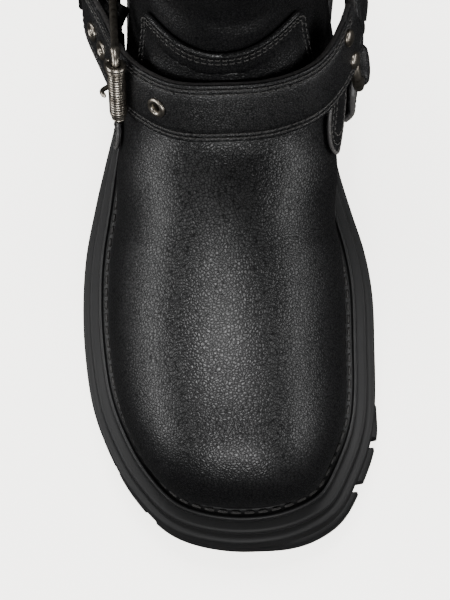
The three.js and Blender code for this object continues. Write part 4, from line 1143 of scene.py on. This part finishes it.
def tab_border(side, low, high, middle, slant, half):
    """A side panel's end: rounded towards the toe, straight where it goes under the strap."""

    def border(a, b):
        w = 2 * a - 1
        start = low + (high - low) * 0.45 * (1 - np.sqrt(np.maximum(0, 1 - w * w * 0.96)))
        s = start + (high - start) * b
        return s, side * (middle - slant * (s - low) + half * w)

    return border


def around(counts, values):
    """Shares along three sides of a border, from a start and end for each side."""
    return np.concatenate([np.linspace(first, last, n) for n, (first, last) in zip(counts, values)])


TABS = {
    "medial": tab_border(1, 10.8, 13.2, 0.63, 0.03, 0.105),
    "lateral": tab_border(-1, 10.9, 12.1, 0.69, 0.03, 0.075),
}


class BOOT_OT_overlays(bpy.types.Operator):
    """Builds the rounded top flap of the vamp and the ends of the side panels, with their stitches"""

    bl_idname = "boot.overlays"
    bl_label = "Overlays"

    def execute(self, context):
        overlay(Shape(), tongue_border, 81, 33, 0.95, 1.6).piece(
            "vamp_tongue_leather", look("vamp"), "leather", ["vamp_tongue"], angle=50)
        threads = Shape()
        for inset in (0.09, 0.17):
            near, far, top = inset * 0.32, 1 - inset * 0.32, 1 - inset
            a = around((40, 160, 40), ((near, near), (near, far), (far, far)))
            b = around((40, 160, 40), ((0.1, top), (top, top), (top, 0.1)))
            sewn(threads, *tongue_border(a, b), 2.5, 0.22)
        for name, border in TABS.items():
            overlay(Shape(), border, 41, 33, 0.95, 1.6).piece(
                f"side_tab_{name}_leather", look("strap"), "leather", [f"side_tab_{name}"], angle=50)
            for inset in (0.1, 0.22):
                far, low = 1 - inset, inset * 0.8
                a = around((50, 50, 50), ((inset, inset), (inset, far), (far, far)))
                b = around((50, 50, 50), ((0.95, low), (low, low), (low, 0.95)))
                sewn(threads, *border(a, b), 2.5, 0.22)
            # a rolled, paler cord of leather lies along the tab's edge
            a = around((50, 60, 50), ((0, 0), (0, 1), (1, 1)))
            b = around((50, 60, 50), ((0.96, 0), (0, 0), (0, 0.96)))
            s, v = border(a, b)
            path, _ = resample(np.hstack([on_upper(s, v, 2.0), upper_facing(s, v)]), 0.8)
            Shape().bar(path[:, :3], 0.75, 10, guide=path[:, 3:]).piece(
                f"side_tab_{name}_cord", look("edge"), "leather")
        threads.piece("overlay_stitching", look("thread"), "leather")
        return {"FINISHED"}


def step_rows(profile):
    """A step of the sole: a profile of inset share, extra inset and height, all round the outline."""
    loops = [outline(share, extra) for share, extra, _ in profile]
    rows = np.zeros((STATIONS, len(profile), 3))
    for k, (_, _, rise) in enumerate(profile):
        rows[:, k, :2] = loops[k]
        rows[:, k, 2] = top_level(loops[k][:, 1]) + rise
    return rows


class BOOT_OT_sole(bpy.types.Operator):
    """Builds the stepped rubber sole: lugged outsole, midsole, grooved welt with its stitches, footbed"""

    bl_idname = "boot.sole"
    bl_label = "Sole"

    def execute(self, context):
        # outsole: a rounded block under the whole foot, the heel's block, and channels between lugs
        top = [(0.35, 0.0, 0.0), (0.0, 2.2, 0.0), (0.0, 1.2, -0.15),
               (0.0, 0.5, -0.6), (0.0, 0.12, -1.3), (0.0, 0.0, -2.2)]
        loops = []
        for share, extra, rise in top:
            flat = outline(share, extra)
            loops.append(np.c_[flat, top_level(flat[:, 1]) + rise])
        # the cleats flare below the wall, most at the inner corner of the toe
        corner = smooth(10, 35, OUTLINE[:, 0]) * smooth(-80, -100, OUTLINE[:, 1])
        flare = 0.35 + 1.9 * corner
        lugs = ((0.0, 11.5), (0.05, 10.8), (0.6, 9.8), (0.8, 8.8), (1.0, 1.2), (0.8, 0.3), (0.1, 0.0))
        for extra, rise in lugs:
            flat = outline(0, -extra * flare)
            loops.append(np.c_[flat, under_level(flat[:, 1]) + rise])
        base = Shape().stacked(loops).made("outsole_rubber")
        order = [i for i in range(STATIONS) if OUTLINE[i, 1] >= HEEL_BREAST]
        levels = ((1.4, 17.0), (0.8, 9.6), (0.0, 9.2), (0.0, 1.0), (0.3, 0.3), (1.0, 0.0))
        loops = []
        for extra, z in levels:
            flat = outline(0, extra)[order]
            flat[0, 1] = flat[-1, 1] = HEEL_BREAST
            rise = np.minimum(z, under_level(flat[:, 1]) + 3) if z > 10 else np.full(len(order), z)
            loops.append(np.c_[flat, rise])
        combine(base, Shape().stacked(loops).made("heel_block"), "UNION")
        cutters = Shape()

        def channel(width, deep, high, x, y, z, turn):
            corners = np.array([[a, b, c] for c in (-1, 1) for b in (-1, 1) for a in (-1, 1)], float)
            corners *= [width / 2, deep / 2, high / 2]
            cosine, sine = math.cos(turn), math.sin(turn)
            turned = corners @ [[cosine, sine, 0], [-sine, cosine, 0], [0, 0, 1]]
            cutters.add(turned + [x, y, z], [
                (0, 2, 3, 1), (4, 5, 7, 6), (0, 1, 5, 4), (2, 6, 7, 3), (0, 4, 6, 2), (1, 3, 7, 5)])

        for row in range(8):
            y = -128 + row * 17
            for side in (-1, 1):
                channel(80, 4.2, 21, (-62 if side < 0 else 63) - side * 2, y + (0 if side < 0 else 8.5),
                        float(under_level(y)), side * 0.16)
        for row in range(3):
            for side in (-1, 1):
                channel(44, 5, 9, 2 + side * 42, 78 + row * 20, 0, side * 0.12)
        combine(base, cutters.made("channels"), "DIFFERENCE")
        base.data.materials.clear()
        base.data.materials.append(look("rubber"))
        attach(base, BODY)
        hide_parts("outsole")

        rise = STEP_RISE
        profile = [(0.27, extra, high) for extra, high in (
            (2.6, GAP), (0.4, GAP), (0.0, GAP + 0.5), (0.0, rise - 1.6), (0.2, rise - 0.8),
            (0.8, rise - 0.2), (1.6, rise), (6.5, rise), (6.5, GAP))]
        Shape().loft(step_rows(profile), closed=True).piece(
            "midsole_rubber", look("rubber"), "rubber", ["midsole"], angle=45)
        # the last number of each point is how far it lies below the welt's top
        profile = [(share, extra, 2 * rise - below) for share, extra, below in (
            (0.61, 0.0, rise - GAP), (0.61, 0.0, 1.3), (0.61, 0.18, 0.7), (0.61, 0.6, 0.35),
            (0.73, -0.3, 0.3), (0.73, 0.0, 0.5), (0.76, -0.1, 1.4), (0.76, 0.2, 1.6),
            (0.97, -0.2, 1.6), (0.97, 0.1, 1.4), (1.0, 0.0, 0.7), (1.0, WALL + 0.6, 0.7),
            (1.0, WALL + 0.6, rise - GAP))]
        Shape().loft(step_rows(profile), closed=True).piece(
            "welt_rubber", look("welt"), "rubber", ["welt"], angle=45)
        shape = Shape()
        line = outline(0.865)
        path = np.c_[line, top_level(line[:, 1]) + 2 * rise - 1.5]
        shape.stitches(path, np.tile([0, 0, 1.0], (STATIONS, 1)), stitch_pitch("welt_pitch"),
                       4.0, 1.15, 0.5, closed=True)
        shape.piece("welt_stitching", look("thread"), "rubber")
        # footbed: dished a little, with a rolled edge
        loops = []
        for extra, z in ((0.0, None), (0.0, 1.6), (0.4, 2.2), (1.2, 2.4), (6.0, 2.2), (14.0, 1.7)):
            flat = outline(1, WALL + 2.2 + extra)
            low = top_level(flat[:, 1]) + rise + GAP
            loops.append(np.c_[flat, low if z is None else feather_level(flat[:, 1]) + z])
        Shape().stacked(loops).piece("insole_leather", look("sock"), "footbed", ["insole"], angle=45)
        return {"FINISHED"}


def painted(shape, frames, name, slot_node, ends=()):
    """A strap piece whose cut edges are painted; ends are extra rows such as the turned-back loops."""
    m = len(strap_profile(10, 1.6))
    # Faces of the profile that are its two cut edges
    edge_faces = {0, 1, 21, 22, 23, 27}
    kinds = [int(i % m in edge_faces) for i in range((len(frames["at"]) - 1) * m)] + [1, 1]
    for rows in ends:
        start = len(shape.faces)
        shape.loft(rows)
        kinds += [0] * (len(shape.faces) - start)
    made = shape.piece(name, look("strap"), "leather", slot_node, angle=45, kinds=kinds)
    made.data.materials.append(look("edge"))
    return made


def loop_rows(ring, start, end):
    """A turned-back strap end, gathered round the ring's wire."""
    steps = 14
    share = np.linspace(0, 1, steps + 1)
    tubes = 3.3 + 1.3 * np.sin(share * math.pi) ** 0.35
    return ring_arc(ring, tubes, start, end, steps, 16)


class BOOT_OT_straps(bpy.types.Operator):
    """Builds the harness straps, the chape behind the buckle and the keeper, with their stitches"""

    bl_idname = "boot.straps"
    bl_label = "Straps"

    def execute(self, context):
        pitch = stitch_pitch("strap_pitch")
        threads = Shape()
        front = denser(FRONT_STRAP)
        made = painted(strap_shape(front), front, "strap_front_leather", ["strap_front"],
                       [loop_rows(RINGS["medial"], 48, 104)])
        holes = Shape()
        for at, out in eyelet_spots():
            holes.turned(at, out, [(-5, 0.01), (-5, 2.1), (5, 2.1), (5, 0.01)], 24)
        combine(made, holes.made("eyelet_holes"), "DIFFERENCE")
        strap_stitches(threads, front, pitch, (0.03, 0.93))
        heel = denser(HEEL_STRAP)
        share = np.linspace(0, 1, len(heel["at"]))
        doubled = 1 + 0.6 * smooth(0.14, 0.1, share) + 0.6 * smooth(0.86, 0.9, share)
        painted(strap_shape(heel, doubled=doubled), heel, "strap_heel_leather", ["strap_heel"],
                [loop_rows(RINGS["medial"], -34, 34), loop_rows(RINGS["lateral"], -34, 34)])
        strap_stitches(threads, heel, pitch, (0.12, 0.88))
        for name, frames in LOWER_STRAPS.items():
            fine = denser(frames, 6)
            painted(strap_shape(fine), fine, f"strap_lower_{name}_leather", [f"strap_lower_{name}"],
                    [loop_rows(RINGS[name], 236, 304)])
            strap_stitches(threads, fine, pitch, (0.12, 0.98))
        threads.piece("strap_stitching", look("thread"), "leather")
        self.chape()
        self.keeper()
        return {"FINISHED"}

    def chape(self):
        """The short strap from the little-toe ring to the buckle's bar."""
        end = ring_centre(RINGS["lateral"]) + RING_RADIUS * np.array([0, -math.cos(0.7), math.sin(0.7)])
        side = unit([-1, 0, 0.1])
        along_chape = end - BACK_CENTRE
        slot_end = 8 / np.linalg.norm(along_chape)
        shape = Shape()
        # The strap itself, and beside the slot that frees the prong the two arms that hold the bar
        for first, last, arm in ((slot_end, 1, 0), (0, slot_end + 0.04, 1), (0, slot_end + 0.04, -1)):
            rows = []
            for t in np.linspace(first, last, 14):
                half = 11 - 2.5 * t
                inner = PRONG_SLOT / 2 if arm else -half
                profile = strap_profile((half - inner) / 2, 1.7) * [1, 0.97] + [(half + inner) / 2, 0]
                across = profile[:, :1] * (arm or 1)
                rows.append(BACK_CENTRE + along_chape * t + across * BUCKLE_W + profile[:, 1:] * side)
            shape.loft(rows)
        for low, high in ((-11, -PRONG_SLOT / 2), (PRONG_SLOT / 2, 11)):
            shape.turned(BACK_CENTRE, BUCKLE_W, [(low, 1.8), (low, 3.5), (low + 0.4, 3.9), (high - 0.4, 3.9),
                                                 (high, 3.5), (high, 1.8)], 28)
        shape.loft(ring_arc(RINGS["lateral"], LOOP_RADIUS - 0.6, 112, 172, 14, 16))
        shape.piece("strap_chape_leather", look("strap"), "leather", ["strap_chape"], angle=45)

    def keeper(self):
        """The loop that holds the strap's loose end."""
        place = spot(KEEPER_ROW)
        corner, half_w, half_n = 1.6, 13.2, 2.6
        path = []
        for k in range(4):
            across, out = (1, -1, -1, 1)[k], (1, 1, -1, -1)[k]
            for step in range(6):
                a = math.radians(k * 90 + step * 18)
                path.append((across * (half_w - corner) + corner * math.cos(a),
                             out * (half_n - corner) + corner * math.sin(a), math.cos(a), math.sin(a)))
        band = ((-3, -0.6), (-3, 0.35), (-2.6, 0.65), (-2, 0.6), (-1.6, 0.5), (0, 0.68),
                (1.6, 0.5), (2, 0.6), (2.6, 0.65), (3, 0.35), (3, -0.6))
        rows = [[place["at"] + place["across"] * (w + dw * thick) + place["out"] * (n + dn * thick)
                 + place["ahead"] * t for t, thick in band] for w, n, dw, dn in path]
        Shape().loft(rows, closed=True).piece(
            "keeper_leather", look("strap"), "leather", ["keeper"], angle=45)


class BOOT_OT_hardware(bpy.types.Operator):
    """Builds the two rings, the roller buckle with its prong, the eyelets and the rivets"""

    bl_idname = "boot.hardware"
    bl_label = "Hardware"

    def execute(self, context):
        for name, ring in RINGS.items():
            Shape().loft(ring_arc(ring, WIRE, None, None, 96, 20), closed=True).metal(f"ring_{name}")
        self.buckle()
        for number, (at, out) in enumerate(eyelet_spots(), 1):
            Shape().turned(at + out * STRAP_THICK / 2, out, [
                (-3.4, 1.55), (-3.4, 1.95), (0.1, 2.0), (0.35, 3.9), (0.8, 4.05), (1.25, 3.7), (1.5, 3.0),
                (1.42, 2.3), (1.0, 1.85), (0.2, 1.6)], 36).metal(f"eyelet_{number}", 60)
        place = spot(RIVET_ROW)
        for number, w in enumerate((-6.2, 6.2), 1):
            base = place["at"] + place["across"] * w + place["out"] * (STRAP_THICK / 2 + 0.25)
            Shape().turned(base, place["out"], [
                (-0.4, 0.02), (-0.4, 3.2), (0.3, 3.4), (0.8, 3.25), (1.2, 2.8), (1.5, 1.9), (1.66, 0.9),
                (1.7, 0.02)], 36).metal(f"rivet_{number}", 60)
        return {"FINISHED"}

    def buckle(self):
        # frame: a bent wire with knuckles beside the roller
        path = []
        corners = ((BUCKLE_LENGTH - CORNER, FRAME_HALF - CORNER, 0), (CORNER, FRAME_HALF - CORNER, 90),
                   (CORNER, CORNER - FRAME_HALF, 180), (BUCKLE_LENGTH - CORNER, CORNER - FRAME_HALF, 270))
        for u, w, start in corners:
            for k in range(9):
                a = math.radians(start + k * 11.25)
                path.append(buckle_at(u + CORNER * math.cos(a), w + CORNER * math.sin(a)))
        path, _ = resample(path, 1.0, closed=True)
        along_u = (path - ROLLER_CENTRE) @ BUCKLE_U
        knuckle = np.exp(-(((along_u - 4.2) / 1.6) ** 2))
        radii = FRAME_WIRE + np.where(along_u < 1.0, 0, 0.65 * knuckle)
        Shape().bar(path, radii, 16, closed=True, guide=BUCKLE_N).metal("buckle_frame")
        # roller: bored tube with fine turned rings, a flange at the upper end and a taper at the lower
        half = (FRAME_HALF * 2 - 2 * CORNER + 1.6) / 2
        heights = np.linspace(-half, half, 121)
        outer = ROLLER_RADIUS - 0.1 + 0.12 * np.cos(heights / 1.15 * 2 * math.pi)
        outer += 0.55 * smooth(half - 2.4, half - 2.0, heights) * smooth(half, half - 0.3, heights)
        outer -= 0.35 * np.exp(-(((heights - (half - 3.0)) / 0.35) ** 2))
        outer -= 0.7 * smooth(-half + 3.2, -half, heights)
        profile = [(-half + 0.3, BAR_BORE)] + list(zip(heights, outer)) + [(half - 0.3, BAR_BORE)]
        Shape().turned(ROLLER_CENTRE, BUCKLE_W, profile, 40).metal("buckle_roller", 60)
        # prong: from its eye on the bar, up through the strap's hole and over the roller
        hole, below, over = spot(HOLE_ROW), spot(BELOW_ROW), spot(OVER_ROW)
        points = [
            BACK_CENTRE - BUCKLE_U * 2.2,
            below["at"] - below["out"] * 3.6,
            hole["at"],
            over["at"] + over["out"] * 4.1,
            buckle_at(0.6, 0, ROLLER_RADIUS + 2.3),
            buckle_at(-3.2, 0, ROLLER_RADIUS + 1.2),
        ]
        path, _ = resample(curve_through(points, np.linspace(0, 1, 200)), 0.6)
        share = np.linspace(0, 1, len(path))
        radii = 1.3 - 0.4 * smooth(0.6, 0.97, share)
        radii[-1] = 0.35
        radii[-2] = 0.7
        shape = Shape().bar(path, radii, 14, guide=BUCKLE_W)
        shape.turned(BACK_CENTRE, BUCKLE_W, [
            (-2.2, 1.55), (-2.2, 2.8), (-1.8, 3.1), (1.8, 3.1), (2.2, 2.8), (2.2, 1.55)], 32)
        shape.metal("buckle_prong")


# Stage -----------------------------------------------------------------------------------------


# Soft lights: name, place, target and breadths in metres, power in watts
LIGHTS = (
    ("overhead", (-0.04, 0.37, 1.5), (0, 0, 0.08), 0.5, 0.3, 20),
    ("front", (0.05, -1.1, 1.0), (0, -0.06, 0.05), 0.5, 0.35, 12),
    ("left", (-1.1, -0.05, 0.42), (0, -0.02, 0.06), 1.3, 0.3, 11),
    ("right", (1.1, -0.05, 0.42), (0, -0.02, 0.06), 1.3, 0.3, 8),
)
# The photo's camera: azimuth, elevation and roll in degrees, target and distance in metres, lens in mm
CAMERA_ANGLES = (9, 75, -8.7)
CAMERA_TARGET = (-0.001, -0.049, 0.03)
CAMERA_DISTANCE = 0.8
CAMERA_LENS, CAMERA_SENSOR = 120, 36


def area_light(name, place, target, width, height, power):
    data = bpy.data.lights.new(name, "AREA")
    data.shape, data.size, data.size_y, data.energy = "RECTANGLE", width, height, power
    made = bpy.data.objects.new(name, data)
    made.location = place
    made.rotation_mode = "QUATERNION"
    made.rotation_quaternion = (Vector(target) - Vector(place)).to_track_quat("-Z", "Y")
    bpy.context.scene.collection.objects.link(made)
    return made


class BOOT_OT_stage(bpy.types.Operator):
    """Sets the pale floor, the soft studio lights and the camera above and before the toe"""

    bl_idname = "boot.stage"
    bl_label = "Stage"

    def execute(self, context):
        bpy.ops.mesh.primitive_plane_add(size=8, location=(0, 0, -0.0002))
        floor = context.object
        floor.name = "studio_floor"
        material = bpy.data.materials.new("Painted studio floor")
        material.use_nodes = True
        tree = material.node_tree
        tree.nodes.clear()
        shader = add_node(tree, "ShaderNodeBsdfPrincipled", inputs={
            "Base Color": srgb(context.scene.boot_colours.floor), "Roughness": 0.9,
            "Emission Color": srgb("#FFFDF7"), "Emission Strength": 3.4})
        add_node(tree, "ShaderNodeOutputMaterial", inputs={"Surface": shader.outputs["BSDF"]})
        floor.data.materials.append(material)
        floor.visible_glossy = False

        world = bpy.data.worlds.new("Studio")
        context.scene.world = world
        world.use_nodes = True
        world.node_tree.nodes["Background"].inputs["Color"].default_value = srgb("#F4F4F2")
        world.node_tree.nodes["Background"].inputs["Strength"].default_value = 0.03

        for light in LIGHTS:
            area_light(*light)

        azimuth, elevation, roll = (math.radians(a) for a in CAMERA_ANGLES)
        back = np.array([
            math.sin(azimuth) * math.cos(elevation), -math.cos(azimuth) * math.cos(elevation),
            math.sin(elevation)])
        right = unit(np.cross(-back, [0, 0, 1]))
        up = np.cross(right, -back)
        right, up = (
            math.cos(roll) * right + math.sin(roll) * up, -math.sin(roll) * right + math.cos(roll) * up)
        data = bpy.data.cameras.new("Camera")
        data.lens, data.sensor_width, data.clip_start = CAMERA_LENS, CAMERA_SENSOR, 0.01
        camera = bpy.data.objects.new("Camera", data)
        context.scene.collection.objects.link(camera)
        matrix = Matrix((right, up, back)).transposed().to_4x4()
        matrix.translation = Vector(np.array(CAMERA_TARGET) + back * CAMERA_DISTANCE)
        camera.matrix_world = matrix
        context.scene.camera = camera
        return {"FINISHED"}


OPERATORS = (BOOT_OT_stage, BOOT_OT_sole, BOOT_OT_upper, BOOT_OT_overlays, BOOT_OT_straps, BOOT_OT_hardware)


class BOOT_PT_panel(bpy.types.Panel):
    """Lists the boot's sizes, colours and building steps"""

    bl_idname = "BOOT_PT_panel"
    bl_label = "Slouch Boot"
    bl_space_type = "VIEW_3D"
    bl_region_type = "UI"
    bl_category = "Boot"

    def draw(self, context):
        layout = self.layout
        for group in (context.scene.boot_sizes, context.scene.boot_colours):
            for key in group.__annotations__:
                layout.prop(group, key)
        for operator in OPERATORS:
            layout.operator(operator.bl_idname)


CLASSES = (BootSizes, BootColours, *OPERATORS, BOOT_PT_panel)


def register():
    for item in CLASSES:
        bpy.utils.register_class(item)
    bpy.types.Scene.boot_sizes = bpy.props.PointerProperty(type=BootSizes)
    bpy.types.Scene.boot_colours = bpy.props.PointerProperty(type=BootColours)


def unregister():
    del bpy.types.Scene.boot_colours
    del bpy.types.Scene.boot_sizes
    for item in reversed(CLASSES):
        bpy.utils.unregister_class(item)


def main():
    register()
    bpy.ops.boot.stage()
    bpy.ops.boot.sole()
    bpy.ops.boot.upper()
    bpy.ops.boot.overlays()
    bpy.ops.boot.straps()
    bpy.ops.boot.hardware()


if __name__ == "__main__":
    main()
